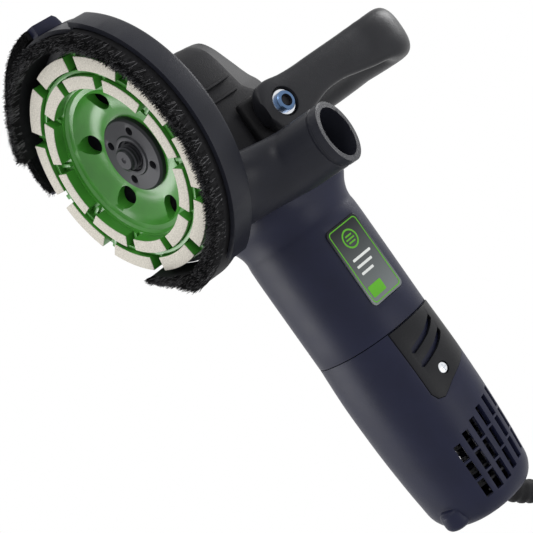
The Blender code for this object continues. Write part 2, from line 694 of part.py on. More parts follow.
def shroud():
    profile = [(24.2, 35.6), (26.4, 35.6), (26.4, 29.6), (40.0, 29.6), (46.0, 27.4), (62.0, 18.6), (77.5, 16.2),
               (SHROUD_R, 13.6), (SHROUD_R, 1.0), (77.7, 1.0), (77.7, 12.6), (76.0, 13.8), (61.0, 16.0),
               (45.0, 24.8), (38.0, 27.0), (24.2, 27.3)]
    body = turned("shroud", profile, SHROUD, steps=48)
    outer = loft("duct_outer", duct_rings(0.0), None)
    inner = loft("duct_inner", duct_rings(3.2), None)
    boolean(body, outer, "UNION")
    cut(body, inner)
    cut(body, sector("edge_opening", [(66, -3), (90, -3), (90, 22), (66, 22)], *OPENING, 29, None))
    cut(body, sector("gate_track", [(76.9, -3), (90, -3), (90, 22), (76.9, 22)], *TRACK, 20, None))
    wall = sector("track_wall", [(74.5, 1.1), (76.7, 1.1), (76.7, 16.1), (74.5, 15.4)], OPENING[1] + 0.6,
                  TRACK[1] + 1.1, 20, None)
    boolean(body, wall, "UNION")
    end = sector("track_end", [(75.1, 1.3), (79.3, 1.3), (79.3, 13.4), (75.1, 13.4)], TRACK[1] + 0.3,
                 TRACK[1] + 2, 3, None)
    boolean(body, end, "UNION")
    band = ring("clamp_band", (26.8, 29.6), (30.2, 35.4), STEEL)
    boolean(band, box("clamp_ears", (-38, -5.5, 30.2), (-27.5, 5.5, 35.4), None), "UNION")
    cut(band, box("clamp_split", (-42, -1.2, 28), (-24, 1.2, 38), None))
    cut(band, rod("clamp_screw_bore", (-34, -9, 32.8), (-34, 9, 32.8), 1.9, None, sides=12))
    screw = [(0, -9.5), (2.4, -9.5), (2.4, -5.9), (1.5, -5.9), (1.5, 7.5), (0, 7.5)]
    turned("clamp_screw", screw, STEEL, closed=False, along="Y", at=(-34, 0, 32.8), steps=12)


RING_OUTER = ((211.0, 74.2), (211.2, 77.2), (357.0, 77.2), (360.0, 75.9), (367.0, 70.9), (373.0, 68.3),
              (379.0, 66.6), (386.0, 65.6))
RING_INNER = ((357.0, 68.0), (367.0, 65.6), (386.0, 64.4))
GATE_TIPS = ((98.0, 7.6), (101.0, 6.4), (105.0, 4.8), (113.0, 3.6), (124.0, 2.6), (134.0, 1.8), (150.0, 0.4))


def ring_profile(angle):
    """Section of the brush ring; past the skirt's end the bristles taper to a point."""
    inner, outer = between(RING_INNER, angle), between(RING_OUTER, angle)
    return ((inner, BRISTLE_TIP), (outer, BRISTLE_TIP), (outer, 12.2), (max(outer - 1.4, inner + 0.1), 12.9),
            (inner, 12.9))


def gate_profile(angle):
    tip = between(GATE_TIPS, angle)
    return ((77.8, tip), (83.4, tip), (83.4, 9.8), (77.8, 9.8))


def brushes():
    ring_angles = [*spread(117.5, 211.0, 18), *spread(211.2, 357.0, 26), 360.0, 363.5, 367.0, 370.0, 373.0, 379.0,
                   386.0]
    swept("brush_ring", ring_profile, ring_angles, BRISTLE)
    hood = [(66.5, 21.0), (78.0, 21.0), (83.2, 18.4), (83.2, 10.1), (77.1, 10.1), (77.1, 17.2), (74.0, 17.2),
            (66.5, 18.4)]
    cover = sector("gate_hood", hood, 97.0, 185.0, 18, NAVY)
    end = sector("gate_end", [(77.1, 4.0), (83.2, 4.0), (83.2, 12.0), (77.1, 12.0)], 181.0, 185.0, 3, None)
    boolean(cover, end, "UNION")
    swept("gate_brush", gate_profile, [98.0, 101.0, *spread(105.0, 180.7, 15)], BRISTLE)


# ---------------------------------------------------------------- bail handle

def handle_rows():
    """Rings along the bail from one foot to the other: centre y and z, half widths, lean, centre x."""
    leg = [(63.0, 7.0, 22.6), (65.5, 11.5, 22.6), (70.0, 14.3, 22.8), (77.0, 15.0, 23.0), (86.0, 13.9, 23.2),
           (98.0, 12.0, 21.8), (110.0, 10.8, 20.4), (124.0, 10.8, 20.3), (138.0, 12.0, 21.4), (150.0, 13.2, 22.3)]
    rows = [(-47.0, z, half, 4.8, 0.0, x) for z, half, x in leg]
    for angle, half, thick, x in ((0, 14.0, 5.6, 23.0), (25, 15.4, 7.8, 24.2), (50, 16.2, 10.4, 25.0),
                                  (75, 16.4, 12.6, 25.2)):
        a = math.radians(angle)
        rows.append((-25 - 22 * math.cos(a), GRIP_TOP - 24 + 22 * math.sin(a), half, thick, a, x))
    rows.append((-12.0, GRIP_TOP - 0.6, 16.2, 13.6, math.pi / 2, 25.0))
    middle = [(0.0, GRIP_TOP, 16.0, 13.8, math.pi / 2, 24.8)]
    mirrored = [(-y, z, half, thick, math.pi - lean, x) for y, z, half, thick, lean, x in reversed(rows)]
    return rows + middle + mirrored


def bail_handle():
    rings = []
    for y, z, half, thick, lean, x in handle_rows():
        shape = oval(half, thick, 2.6, 16)
        out = Vector((0, -math.cos(lean), math.sin(lean)))
        rings.append([Vector((x + a, y, z)) + out * b for a, b in shape])
    handle = loft("bail_handle", rings, HANDLE)
    for side, name in ((-1, "left"), (1, "right")):
        centre = (BOLT_X, BOLT_Z)
        recess = rod(f"bolt_recess_{name}", (centre[0], side * 48.6, centre[1]), (centre[0], side * 56, centre[1]),
                     8.4, None, sides=24)
        bore = rod(f"bolt_bore_{name}", (centre[0], side * 40, centre[1]), (centre[0], side * 56, centre[1]),
                   4.4, None, sides=20)
        cut(handle, recess, bore)
        low, high = sorted((side * 36.1, side * 41.7))
        boss = box(f"handle_boss_{name}", (10.5, low, 57.5), (35.5, high, 92.0), RUBBER, 2.4)
        cut(boss, rod(f"boss_bore_{name}", (centre[0], side * 30, centre[1]), (centre[0], side * 50, centre[1]),
                      4.4, None, sides=16))
        washer = [(4.4, side * 48.9), (7.0, side * 48.9), (7.0, side * 50.2), (4.4, side * 50.2)]
        turned(f"handle_washer_{name}", washer, ZINC, along="Y", at=(BOLT_X, 0, BOLT_Z), steps=16)
        bolt = [(0, side * 32.5), (4.0, side * 32.5), (4.0, side * 50.5), (5.4, side * 50.5), (5.4, side * 53.2),
                (2.4, side * 53.4), (2.4, side * 51.6), (0, side * 51.6)]
        turned(f"handle_bolt_{name}", bolt, ZINC, closed=False, along="Y", at=(BOLT_X, 0, BOLT_Z), steps=14)


# ---------------------------------------------------------------- cord

COIL_CENTRE = (437.0, 59.0)
COIL_MID = 50.0               # radius at the middle of the turns
COIL_HALF = 13.5              # half of the bundle's width, and of its height
FLOOR = BRISTLE_TIP
CORD_BEND = 36.0              # no bend is tighter than four diameters
GUARD_LINE = [(263.5, 0, 90.4), (271.3, 0, 90.6), (277.0, 0, 94.4), (283.0, 0, 101.0), (288.5, 0, 108.5),
              (292.6, 0, 115.6)]
GUARD_R = (7.2, 7.1, 7.0, 6.8, 6.2, 5.3)


def bend_points(start, centre, turn_to, clockwise, count=12):
    """Points on an arc in the X-Z plane from a start point to a heading, in degrees."""
    x0, z0 = start[0] - centre[0], start[1] - centre[1]
    first = math.degrees(math.atan2(z0, x0))
    last = turn_to + 90 if clockwise else turn_to - 90
    while clockwise and last > first:
        last -= 360
    while not clockwise and last < first:
        last += 360
    return [(centre[0] + CORD_BEND * math.cos(math.radians(a)), 0.0,
             centre[1] + CORD_BEND * math.sin(math.radians(a))) for a in spread(first, last, count)]


def cord_line():
    """The cord rises out of its guard, bends over and drops to the floor beside the coil."""
    x, _, z = GUARD_LINE[-1]
    heading = math.radians(60)
    x, z = x + 3 * GAP * math.cos(heading), z + 3 * GAP * math.sin(heading)
    over = (x + CORD_BEND * math.sin(heading), z - CORD_BEND * math.cos(heading))
    points = bend_points((x, z), over, -84, clockwise=True)
    drop = math.radians(-84)
    x, _, z = points[-1]
    floor = FLOOR + CORD_D / 2
    low = floor + CORD_BEND - CORD_BEND * math.cos(drop)
    length = (z - low) / -math.sin(drop)
    points += [(x + length * k / 4 * math.cos(drop), 0.0, z + length * k / 4 * math.sin(drop)) for k in (1, 2, 3)]
    x, z = x + length * math.cos(drop), low
    return points + bend_points((x, z), (x - CORD_BEND * math.sin(drop), floor + CORD_BEND), 0, clockwise=False)


def circles_along(points, radii, sides):
    rings = []
    for i, point in enumerate(points):
        here = Vector(point)
        before = Vector(points[max(i - 1, 0)])
        after = Vector(points[min(i + 1, len(points) - 1)])
        forward = (after - before).normalized()
        side = Vector((0, 1, 0))
        up = forward.cross(side).normalized()
        turns = [2 * math.pi * k / sides for k in range(sides)]
        rings.append([here + side * radii[i] * math.cos(t) + up * radii[i] * math.sin(t) for t in turns])
    return rings


def cord():
    loft("cord_guard", circles_along(GUARD_LINE, GUARD_R, 16), RUBBER)
    tube("mains_cord", cord_line(), CORD_D, RUBBER)
    x, y = COIL_CENTRE
    low, high = COIL_MID - COIL_HALF, COIL_MID + COIL_HALF
    top = FLOOR + 2 * COIL_HALF
    turned("cord_coil", [(low, top - 4), (low + 4, top), (high - 4, top), (high, top - 4), (high, FLOOR + 4),
                         (high - 4, FLOOR), (low + 4, FLOOR), (low, FLOOR + 4)], RUBBER, at=(x, y, 0), steps=24)


def plug():
    """Moulded mains plug beside the coil, with its two round pins pointing back to the tool."""
    x, y = COIL_CENTRE
    tail, y, z = x - 33.6, y + 59.0, FLOOR + 17.6
    body = [(0, 58.5), (15.0, 58.5), (17.2, 56.0), (17.2, 45.0), (15.0, 34.0), (8.6, 24.0), (6.4, 13.0),
            (5.4, 0.0), (0, 0.0)]
    shell = turned("plug_body", [(r, -h) for r, h in body], RUBBER, closed=False, along="X", at=(tail, y, z), steps=18)
    front = tail - 58.5
    for k, side in enumerate((-1, 1)):
        socket = rod(f"pin_socket_{k}", (front - 5, y + side * 9.5, z), (front + 6, y + side * 9.5, z), 2.8, None,
                     sides=12)
        cut(shell, socket)
        pin = [(0, 5.6), (2.4, 5.6), (2.4, -18.0), (1.9, -19.0), (0, -19.0)]
        turned(f"plug_pin_{k + 1}", pin, STEEL, closed=False, along="X", at=(front, y + side * 9.5, z), steps=12)


# ---------------------------------------------------------------- assembly

def lower_to_nose():
    """Hang every loose object from one empty that puts the origin at the spindle's end."""
    base = bpy.data.objects.new("spindle_nose", None)
    base.location = (0, 0, -NOSE_Z * MM)
    PARTS.objects.link(base)
    for obj in [*PARTS.objects, *CUTTERS.objects]:
        if obj.parent is None and obj is not base:
            obj.parent = base


clear_scene()
PARTS = collection(COLLECTION)
CUTTERS = collection("cutters")

GREEN = finish_of("green_paint", (0.09, 0.32, 0.07), 0.38)
SEGMENT = finish_of("diamond_segment", (0.78, 0.76, 0.72), 0.75)
STEEL = finish_of("steel", (0.55, 0.56, 0.58), 0.35, 1.0)
DARK_STEEL = finish_of("dark_steel", (0.10, 0.10, 0.11), 0.42, 0.8)
ZINC = finish_of("zinc", (0.80, 0.82, 0.84), 0.22, 1.0)
COPPER = finish_of("copper", (0.72, 0.36, 0.18), 0.35, 1.0)
BRASS = finish_of("brass", (0.72, 0.55, 0.24), 0.4, 1.0)
CARBON = finish_of("carbon", (0.03, 0.03, 0.03), 0.7)
CAST = finish_of("cast_aluminium_dark", (0.075, 0.075, 0.082), 0.48, 0.35)
NAVY = finish_of("navy_plastic", (0.035, 0.042, 0.095), 0.45)
SHROUD = finish_of("shroud_plastic", (0.045, 0.050, 0.068), 0.45)
HANDLE = finish_of("handle_plastic", (0.060, 0.062, 0.072), 0.5)
DARK_PLASTIC = finish_of("dark_plastic", (0.022, 0.023, 0.027), 0.5)
LABEL_BLACK = finish_of("label", (0.02, 0.02, 0.02), 0.15)
RUBBER = finish_of("rubber", (0.015, 0.015, 0.017), 0.6)
BRISTLE = finish_of("bristle", (0.03, 0.03, 0.032), 0.85)

for build in (cup_wheel, diamond_segments, spindle_parts, crown_gear, pinion, motor, carbon_brushes, gear_head,
              spindle_lock, motor_housing, switch, tail_housing, shroud, brushes, bail_handle, cord, plug):
    build()

pivot("motor_axis", (0, 0, MOTOR_Z), bpy.data.objects["pinion"])
pivot("handle_axis", (BOLT_X, 0, BOLT_Z), bpy.data.objects["bail_handle"])
lower_to_nose()
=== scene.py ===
"""Looks of the concrete grinder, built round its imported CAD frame.

Shapes are in millimetres with heights from the wheel's working face, as in the CAD source. Each
finished piece is lowered so that the origin is the centre of the spindle's flat end, in metres.
"""

import math
import random

import bmesh
import bpy
from mathutils import Matrix, Vector


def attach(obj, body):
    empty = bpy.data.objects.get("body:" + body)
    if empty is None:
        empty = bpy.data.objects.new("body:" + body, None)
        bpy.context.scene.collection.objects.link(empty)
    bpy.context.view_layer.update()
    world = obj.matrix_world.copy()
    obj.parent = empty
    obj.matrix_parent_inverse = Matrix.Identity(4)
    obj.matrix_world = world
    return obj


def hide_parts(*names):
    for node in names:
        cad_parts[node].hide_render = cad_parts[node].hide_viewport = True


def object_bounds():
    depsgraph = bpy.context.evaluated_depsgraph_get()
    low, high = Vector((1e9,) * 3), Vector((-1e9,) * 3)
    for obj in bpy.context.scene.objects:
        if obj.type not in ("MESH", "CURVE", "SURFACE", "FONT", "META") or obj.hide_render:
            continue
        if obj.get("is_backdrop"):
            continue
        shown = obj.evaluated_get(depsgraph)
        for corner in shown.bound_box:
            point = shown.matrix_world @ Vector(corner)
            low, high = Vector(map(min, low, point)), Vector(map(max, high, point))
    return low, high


MM = 0.001
MERGE = 0.00002

WHEEL_R = 62.5
SEGMENT_ROWS = ((54.4, 62.3), (44.4, 51.4))
SEGMENTS = 10
GAP_ANGLE = 21.0
NOSE_Z = 7.0
MOTOR_Z = 75.5
SHROUD_R = 80.5
OPENING = (-25.0, 115.0)
TRACK = (113.0, 208.5)
BRISTLE_TIP = -8.0
HEAD_END = 52.0
SEAM_X = 156.0
TAIL_END = 270.5
GRIP_TOP = 185.0
BOLT_X, BOLT_Z = 23.0, 77.0
PORT_CENTRE = (51.0, -90.0, 61.0)
PORT_TILT = 22.7
PORT_R = (13.9, 17.2)
CORD_D = 9.0
GAP = 0.3
STEPS = 96

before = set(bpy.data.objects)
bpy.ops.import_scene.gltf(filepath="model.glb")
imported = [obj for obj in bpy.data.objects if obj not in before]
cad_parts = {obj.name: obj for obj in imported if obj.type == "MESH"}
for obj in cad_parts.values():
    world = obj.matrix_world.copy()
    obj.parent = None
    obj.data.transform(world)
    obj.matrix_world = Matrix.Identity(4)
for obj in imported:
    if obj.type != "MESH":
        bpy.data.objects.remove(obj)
size_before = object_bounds()


# ---------------------------------------------------------------- camera and light

def look_from(name, data, place, right, up):
    """An object at a place whose view runs along the third axis."""
    right, up = Vector(right).normalized(), Vector(up).normalized()
    back = right.cross(up)
    turn = Matrix((right, up, back)).transposed().to_4x4()
    obj = bpy.data.objects.new(name, data)
    obj.matrix_world = Matrix.Translation(place) @ turn
    bpy.context.scene.collection.objects.link(obj)
    return obj


CAMERA_AT = Vector((0.0309, -0.6561, -0.4536))
CAMERA_RIGHT = Vector((0.5763, -0.5214, 0.6293))
CAMERA_UP = Vector((-0.8141, -0.2986, 0.4981))
AIM = Vector((0.10, 0.0, 0.05))

lens = bpy.data.cameras.new("camera")
lens.sensor_width = 36.0
lens.lens = 102.6
camera = look_from("camera", lens, CAMERA_AT, CAMERA_RIGHT, CAMERA_UP)
bpy.context.scene.camera = camera


def area_light(name, sideways, upwards, away, size, power):
    """A soft light placed beside the camera's own axes, aimed at the tool."""
    back = CAMERA_RIGHT.cross(CAMERA_UP)
    place = AIM + CAMERA_RIGHT * sideways + CAMERA_UP * upwards + back * away
    data = bpy.data.lights.new(name, "AREA")
    data.shape = "DISK"
    data.size = size
    data.energy = power
    obj = bpy.data.objects.new(name, data)
    obj.location = place
    obj.rotation_euler = (place - AIM).to_track_quat("Z", "Y").to_euler()
    bpy.context.scene.collection.objects.link(obj)


area_light("key", -0.7, 0.9, 0.7, 0.5, 4.5)
area_light("fill", 1.0, 0.1, 0.6, 0.6, 3.0)
area_light("edge", 0.7, 1.0, -0.6, 0.5, 9.0)
area_light("low_edge", -0.9, -0.7, -0.2, 0.5, 5.0)

world = bpy.data.worlds.new("studio")
world.use_nodes = True
world.node_tree.nodes["Background"].inputs["Color"].default_value = (1.0, 1.0, 1.0, 1.0)
world.node_tree.nodes["Background"].inputs["Strength"].default_value = 1.0
bpy.context.scene.world = world
bpy.context.scene.view_settings.view_transform = "Standard"


FLOOR_HALF = 30.0


def pale_floor():
    """A floor under the tool; the camera looks up through its underside, which is clear."""
    bm = bmesh.new()
    bmesh.ops.create_grid(bm, x_segments=1, y_segments=1, size=FLOOR_HALF)
    mesh = bpy.data.meshes.new("floor")
    bm.to_mesh(mesh)
    bm.free()
    floor = bpy.data.objects.new("floor", mesh)
    floor.location.z = (BRISTLE_TIP - NOSE_Z - 1.0) * MM
    mat = bpy.data.materials.new("floor_paint")
    mat.use_nodes = True
    tree = mat.node_tree
    paint = tree.nodes["Principled BSDF"]
    paint.inputs["Base Color"].default_value = (0.82, 0.82, 0.81, 1.0)
    paint.inputs["Roughness"].default_value = 0.7
    clear = tree.nodes.new("ShaderNodeBsdfTransparent")
    side = tree.nodes.new("ShaderNodeNewGeometry")
    choice = tree.nodes.new("ShaderNodeMixShader")
    tree.links.new(side.outputs["Backfacing"], choice.inputs[0])
    tree.links.new(paint.outputs[0], choice.inputs[1])
    tree.links.new(clear.outputs[0], choice.inputs[2])
    tree.links.new(choice.outputs[0], tree.nodes["Material Output"].inputs["Surface"])
    mesh.materials.append(mat)
    bpy.context.scene.collection.objects.link(floor)
    floor.visible_diffuse = False
    floor.visible_glossy = False
    floor.visible_shadow = False
    floor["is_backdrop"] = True


pale_floor()


# ---------------------------------------------------------------- materials

def link_nodes(tree, source, output, target, socket):
    tree.links.new(source.outputs[output], target.inputs[socket])


def surface(name, colour, roughness, metallic=0.0, spread=0.25, scale=60.0, grain=0.15, grain_scale=900.0,
            sheen=0.16):
    """A finish whose tone, gloss and fine texture wander a little."""
    mat = bpy.data.materials.new(name)
    mat.use_nodes = True
    tree = mat.node_tree
    shader = tree.nodes["Principled BSDF"]
    shader.inputs["Metallic"].default_value = metallic
    shader.inputs["Specular IOR Level"].default_value = sheen
    place = tree.nodes.new("ShaderNodeTexCoord")
    cloud = tree.nodes.new("ShaderNodeTexNoise")
    cloud.inputs["Scale"].default_value = scale
    cloud.inputs["Detail"].default_value = 4.0
    tone = tree.nodes.new("ShaderNodeValToRGB")
    tone.color_ramp.elements[0].position = 0.3
    tone.color_ramp.elements[1].position = 0.7
    tone.color_ramp.elements[0].color = (*[c * (1 - spread) for c in colour], 1.0)
    tone.color_ramp.elements[1].color = (*[min(c * (1 + spread), 1.0) for c in colour], 1.0)
    gloss = tree.nodes.new("ShaderNodeMapRange")
    gloss.inputs["To Min"].default_value = roughness * 0.85
    gloss.inputs["To Max"].default_value = min(roughness * 1.15, 1.0)
    speckle = tree.nodes.new("ShaderNodeTexNoise")
    speckle.inputs["Scale"].default_value = grain_scale
    speckle.inputs["Detail"].default_value = 3.0
    relief = tree.nodes.new("ShaderNodeBump")
    relief.inputs["Strength"].default_value = grain
    relief.inputs["Distance"].default_value = 0.0004
    link_nodes(tree, place, "Object", cloud, "Vector")
    link_nodes(tree, place, "Object", speckle, "Vector")
    link_nodes(tree, cloud, "Fac", tone, "Fac")
    link_nodes(tree, cloud, "Fac", gloss, "Value")
    link_nodes(tree, tone, "Color", shader, "Base Color")
    link_nodes(tree, gloss, "Result", shader, "Roughness")
    link_nodes(tree, speckle, "Fac", relief, "Height")
    link_nodes(tree, relief, "Normal", shader, "Normal")
    return mat


def gradient(name, dark, pale, start, end, roughness):
    """A glossy film that fades from dark to pale along X."""
    mat = surface(name, dark, roughness, spread=0.0, grain=0.03)
    tree = mat.node_tree
    place = tree.nodes["Texture Coordinate"]
    split = tree.nodes.new("ShaderNodeSeparateXYZ")
    along = tree.nodes.new("ShaderNodeMapRange")
    along.inputs["From Min"].default_value = start * MM
    along.inputs["From Max"].default_value = end * MM
    ramp = tree.nodes["Color Ramp"]
    ramp.color_ramp.elements[0].position = 0.0
    ramp.color_ramp.elements[1].position = 1.0
    ramp.color_ramp.elements[0].color = (*dark, 1.0)
    ramp.color_ramp.elements[1].color = (*pale, 1.0)
    link_nodes(tree, place, "Object", split, "Vector")
    link_nodes(tree, split, "X", along, "Value")
    link_nodes(tree, along, "Result", ramp, "Fac")
    return mat


GREEN = surface("green_paint", (0.040, 0.20, 0.022), 0.3, spread=0.14, grain=0.1, sheen=0.5)
SEGMENT = surface("diamond_segment", (0.50, 0.475, 0.42), 0.8, spread=0.22, scale=1400.0,
                  grain=0.6, grain_scale=2600.0)
STEEL = surface("steel", (0.42, 0.43, 0.45), 0.32, 1.0, spread=0.08, grain=0.06)
DARK_STEEL = surface("dark_steel", (0.022, 0.022, 0.026), 0.4, 0.2, spread=0.15, grain=0.1)
ZINC = surface("zinc", (0.78, 0.80, 0.83), 0.2, 1.0, spread=0.08, grain=0.05)
BLUED = surface("blued_steel", (0.10, 0.17, 0.30), 0.3, 0.85, spread=0.15, grain=0.06)
COPPER = surface("copper", (0.72, 0.36, 0.18), 0.35, 1.0, spread=0.1)
BRASS = surface("brass", (0.72, 0.55, 0.24), 0.4, 1.0, spread=0.1)
CARBON = surface("carbon", (0.03, 0.03, 0.03), 0.7)
CAST = surface("cast_aluminium_dark", (0.011, 0.011, 0.013), 0.5, 0.0, spread=0.15, grain=0.4,
               grain_scale=1500.0)
NAVY = surface("navy_plastic", (0.0085, 0.0100, 0.026), 0.42, spread=0.1, grain=0.22, grain_scale=2200.0)
SHROUD = surface("shroud_plastic", (0.0110, 0.0118, 0.0170), 0.40, spread=0.1, grain=0.2, grain_scale=2000.0)
HANDLE = surface("handle_plastic", (0.0120, 0.0124, 0.0150), 0.40, spread=0.1, grain=0.25, grain_scale=2000.0)
DARK_PLASTIC = surface("dark_plastic", (0.0065, 0.0068, 0.0085), 0.45, spread=0.1, grain=0.2)
RUBBER = surface("rubber", (0.006, 0.006, 0.007), 0.6, spread=0.15, grain=0.2)
BRISTLE = surface("bristle", (0.006, 0.006, 0.007), 0.6, spread=0.4, scale=500.0)
PALE_BRISTLE = surface("pale_bristle", (0.10, 0.10, 0.105), 0.5, spread=0.4, scale=500.0)
LABEL = gradient("label", (0.008, 0.009, 0.010), (0.17, 0.19, 0.19), 92.0, 150.0, 0.14)
LIME = surface("lime_print", (0.09, 0.33, 0.02), 0.3, spread=0.08, grain=0.03)
PALE_PRINT = surface("pale_print", (0.6, 0.62, 0.6), 0.35, spread=0.06, grain=0.03)

CAD_FINISHES = {
    "green_paint": GREEN, "diamond_segment": SEGMENT, "steel": STEEL, "dark_steel": DARK_STEEL, "zinc": ZINC,
    "copper": COPPER, "brass": BRASS, "carbon": CARBON, "cast_aluminium_dark": CAST, "navy_plastic": NAVY,
    "shroud_plastic": SHROUD, "handle_plastic": HANDLE, "dark_plastic": DARK_PLASTIC, "label": LABEL,
    "rubber": RUBBER, "bristle": BRISTLE,
}


def dress_frame():
    """Give every CAD node the procedural finish of the slot that it was packed with."""
    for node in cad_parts.values():
        for index, packed in enumerate(node.data.materials):
            stem = packed.name.split(".")[0] if packed else "steel"
            node.data.materials[index] = CAD_FINISHES.get(stem, STEEL)


# ---------------------------------------------------------------- helpers

def add(name, mesh):
    obj = bpy.data.objects.new(name, mesh)
    bpy.context.scene.collection.objects.link(obj)
    return obj


def finished(work, name, body, finish, stands_for=(), bevel=0.0, angle=35.0):
    """Bake a working shape into a piece in the frame's own coordinates."""
    if bevel:
        edge = work.modifiers.new("edges", "BEVEL")
        edge.width = bevel * MM
        edge.segments = 3
        edge.limit_method = "ANGLE"
        edge.angle_limit = math.radians(40)
    bpy.context.view_layer.update()
    graph = bpy.context.evaluated_depsgraph_get()
    mesh = bpy.data.meshes.new_from_object(work.evaluated_get(graph))
    mesh.transform(Matrix.Translation((0, 0, -NOSE_Z * MM)) @ work.matrix_world)
    mesh.materials.clear()
    mesh.materials.append(finish)
    mesh.shade_smooth()
    mesh.set_sharp_from_angle(angle=math.radians(angle))
    bpy.data.objects.remove(work, do_unlink=True)
    for tool in CUTTERS:
        bpy.data.objects.remove(tool, do_unlink=True)
    CUTTERS.clear()
    piece = add(name, mesh)
    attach(piece, body)
    if stands_for:
        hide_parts(*stands_for)
    return piece


CUTTERS = []


def boolean(target, tool, operation="DIFFERENCE"):
    step = target.modifiers.new(operation.lower(), "BOOLEAN")
    step.operation = operation
    step.object = tool
    step.solver = "EXACT"
    CUTTERS.append(tool)


def cut(target, *tools):
    for tool in tools:
        boolean(target, tool)


def mesh_from(bm, name):
    mesh = bpy.data.meshes.new(name)
    bm.to_mesh(mesh)
    bm.free()
    return mesh


def box(name, low, high):
    bm = bmesh.new()
    bmesh.ops.create_cube(bm, size=1.0)
    low, high = Vector(low), Vector(high)
    bmesh.ops.scale(bm, vec=(high - low) * MM, verts=bm.verts)
    obj = add(name, mesh_from(bm, name))
    obj.location = (low + high) / 2 * MM
    return obj


def rod(name, start, end, radius, sides=40):
    start, end = Vector(start), Vector(end)
    bm = bmesh.new()
    bmesh.ops.create_cone(bm, cap_ends=True, segments=sides, depth=(end - start).length * MM,
                          radius1=radius * MM, radius2=radius * MM)
    obj = add(name, mesh_from(bm, name))
    obj.location = (start + end) / 2 * MM
    obj.rotation_euler = (end - start).to_track_quat("Z", "Y").to_euler()
    return obj


def turned(name, profile, closed=True, along="Z", at=(0, 0, 0), steps=STEPS):
    """A profile of (radius, height) points turned about Z, X or Y."""
    turns = zip(profile, profile[1:] + profile[:1])
    area = sum(r0 * h1 - r1 * h0 for (r0, h0), (r1, h1) in turns)
    points = profile if area < 0 else profile[::-1]
    mesh = bpy.data.meshes.new(name)
    edges = [(i, i + 1) for i in range(len(points) - 1)]
    if closed:
        edges.append((len(points) - 1, 0))
    mesh.from_pydata([(r * MM, 0, h * MM) for r, h in points], edges, [])
    obj = add(name, mesh)
    obj.location = Vector(at) * MM
    if along == "X":
        obj.rotation_euler = (0, math.pi / 2, 0)
    if along == "Y":
        obj.rotation_euler = (-math.pi / 2, 0, 0)
    screw = obj.modifiers.new("turn", "SCREW")
    screw.steps = steps
    screw.render_steps = steps
    screw.use_merge_vertices = True
    screw.merge_threshold = MERGE
    return obj


def loft(name, rings):
    bm = bmesh.new()
    loops = [[bm.verts.new(Vector(p) * MM) for p in points] for points in rings]
    for low, high in zip(loops, loops[1:]):
        for i in range(len(low)):
            j = (i + 1) % len(low)
            bm.faces.new((low[i], low[j], high[j], high[i]))
    bm.faces.new(loops[0])
    bm.faces.new(loops[-1])
    bmesh.ops.recalc_face_normals(bm, faces=bm.faces)
    return add(name, mesh_from(bm, name))


def oval(half_a, half_b, power, count):
    points = []
    for i in range(count):
        turn = 2 * math.pi * (i + 0.5) / count
        c, s = math.cos(turn), math.sin(turn)
        reach = (abs(c) ** power + abs(s) ** power) ** (-1 / power)
        points.append((half_a * reach * c, half_b * reach * s))
    return points


def eased(rows, steps):
    """Rows of numbers with smooth ones put between them."""
    rows = [tuple(row) for row in rows]
    ends = [rows[0], *rows, rows[-1]]
    made = []
    for a, b, c, d in zip(ends, ends[1:], ends[2:], ends[3:]):
        for k in range(steps):
            t = k / steps
            made.append(tuple(
                q + 0.5 * t * ((r - p) + t * (2 * p - 5 * q + 4 * r - s + t * (3 * q - p - 3 * r + s)))
                for p, q, r, s in zip(a, b, c, d)))
    return made + [rows[-1]]


def sections(name, rows, inset=0.0, count=96, steps=4):
    """A body along X from rows of x, half width, bottom, top and superellipse power."""
    rings = []
    for x, half, bottom, top, power in eased(rows, steps):
        middle, tall = (top + bottom) / 2, (top - bottom) / 2
        shape = oval(half - inset, tall - inset, power, count)
        rings.append([(x, a, middle + b) for a, b in shape])
    return loft(name, rings)


def joined(name, objects):
    """Several shapes as one mesh, in place."""
    bm = bmesh.new()
    for obj in objects:
        bm.from_mesh(obj.data)
        added = bm.verts[-len(obj.data.vertices):]
        bmesh.ops.transform(bm, matrix=obj.matrix_basis, verts=added)
        bpy.data.objects.remove(obj, do_unlink=True)
    return add(name, mesh_from(bm, name))


def spread(start, end, count):
    return [start + (end - start) * i / (count - 1) for i in range(count)]


def swept(name, profile_at, angles):
    rings = []
    for angle in angles:
        turn = math.radians(angle)
        rings.append([(r * math.cos(turn), r * math.sin(turn), h) for r, h in profile_at(angle)])
    return loft(name, rings)


def sector(name, profile, start, end, count):
    return swept(name, lambda angle: profile, spread(start, end, count))


def between(knots, at):
    if at <= knots[0][0]:
        return knots[0][1]
    for (p0, v0), (p1, v1) in zip(knots, knots[1:]):
        if at <= p1:
            return v0 + (v1 - v0) * (at - p0) / (p1 - p0)
    return knots[-1][1]


def arc_points(radius, start, end, count):
    return [(radius * math.cos(math.radians(a)), radius * math.sin(math.radians(a)))
            for a in spread(start, end, count)]


def rounded(low, high, radius, per_corner=8):
    (x0, z0), (x1, z1) = low, high
    centres = ((x1 - radius, z1 - radius, 0), (x0 + radius, z1 - radius, 90),
               (x0 + radius, z0 + radius, 180), (x1 - radius, z0 + radius, 270))
    points = []
    for cx, cz, start in centres:
        points += [(cx + a, cz + b) for a, b in arc_points(radius, start, start + 90, per_corner)]
    return points


def plate(name, outline, low, high):
    """A flat outline in X and Z, extruded along Y."""
    bm = bmesh.new()
    near = [bm.verts.new((x * MM, low * MM, z * MM)) for x, z in outline]
    face = bm.faces.new(near)
    moved = bmesh.ops.extrude_face_region(bm, geom=[face])
    far = [v for v in moved["geom"] if isinstance(v, bmesh.types.BMVert)]
    bmesh.ops.translate(bm, vec=(0, (high - low) * MM, 0), verts=far)
    bmesh.ops.recalc_face_normals(bm, faces=bm.faces)
    return add(name, mesh_from(bm, name))


# ---------------------------------------------------------------- cup wheel and spindle

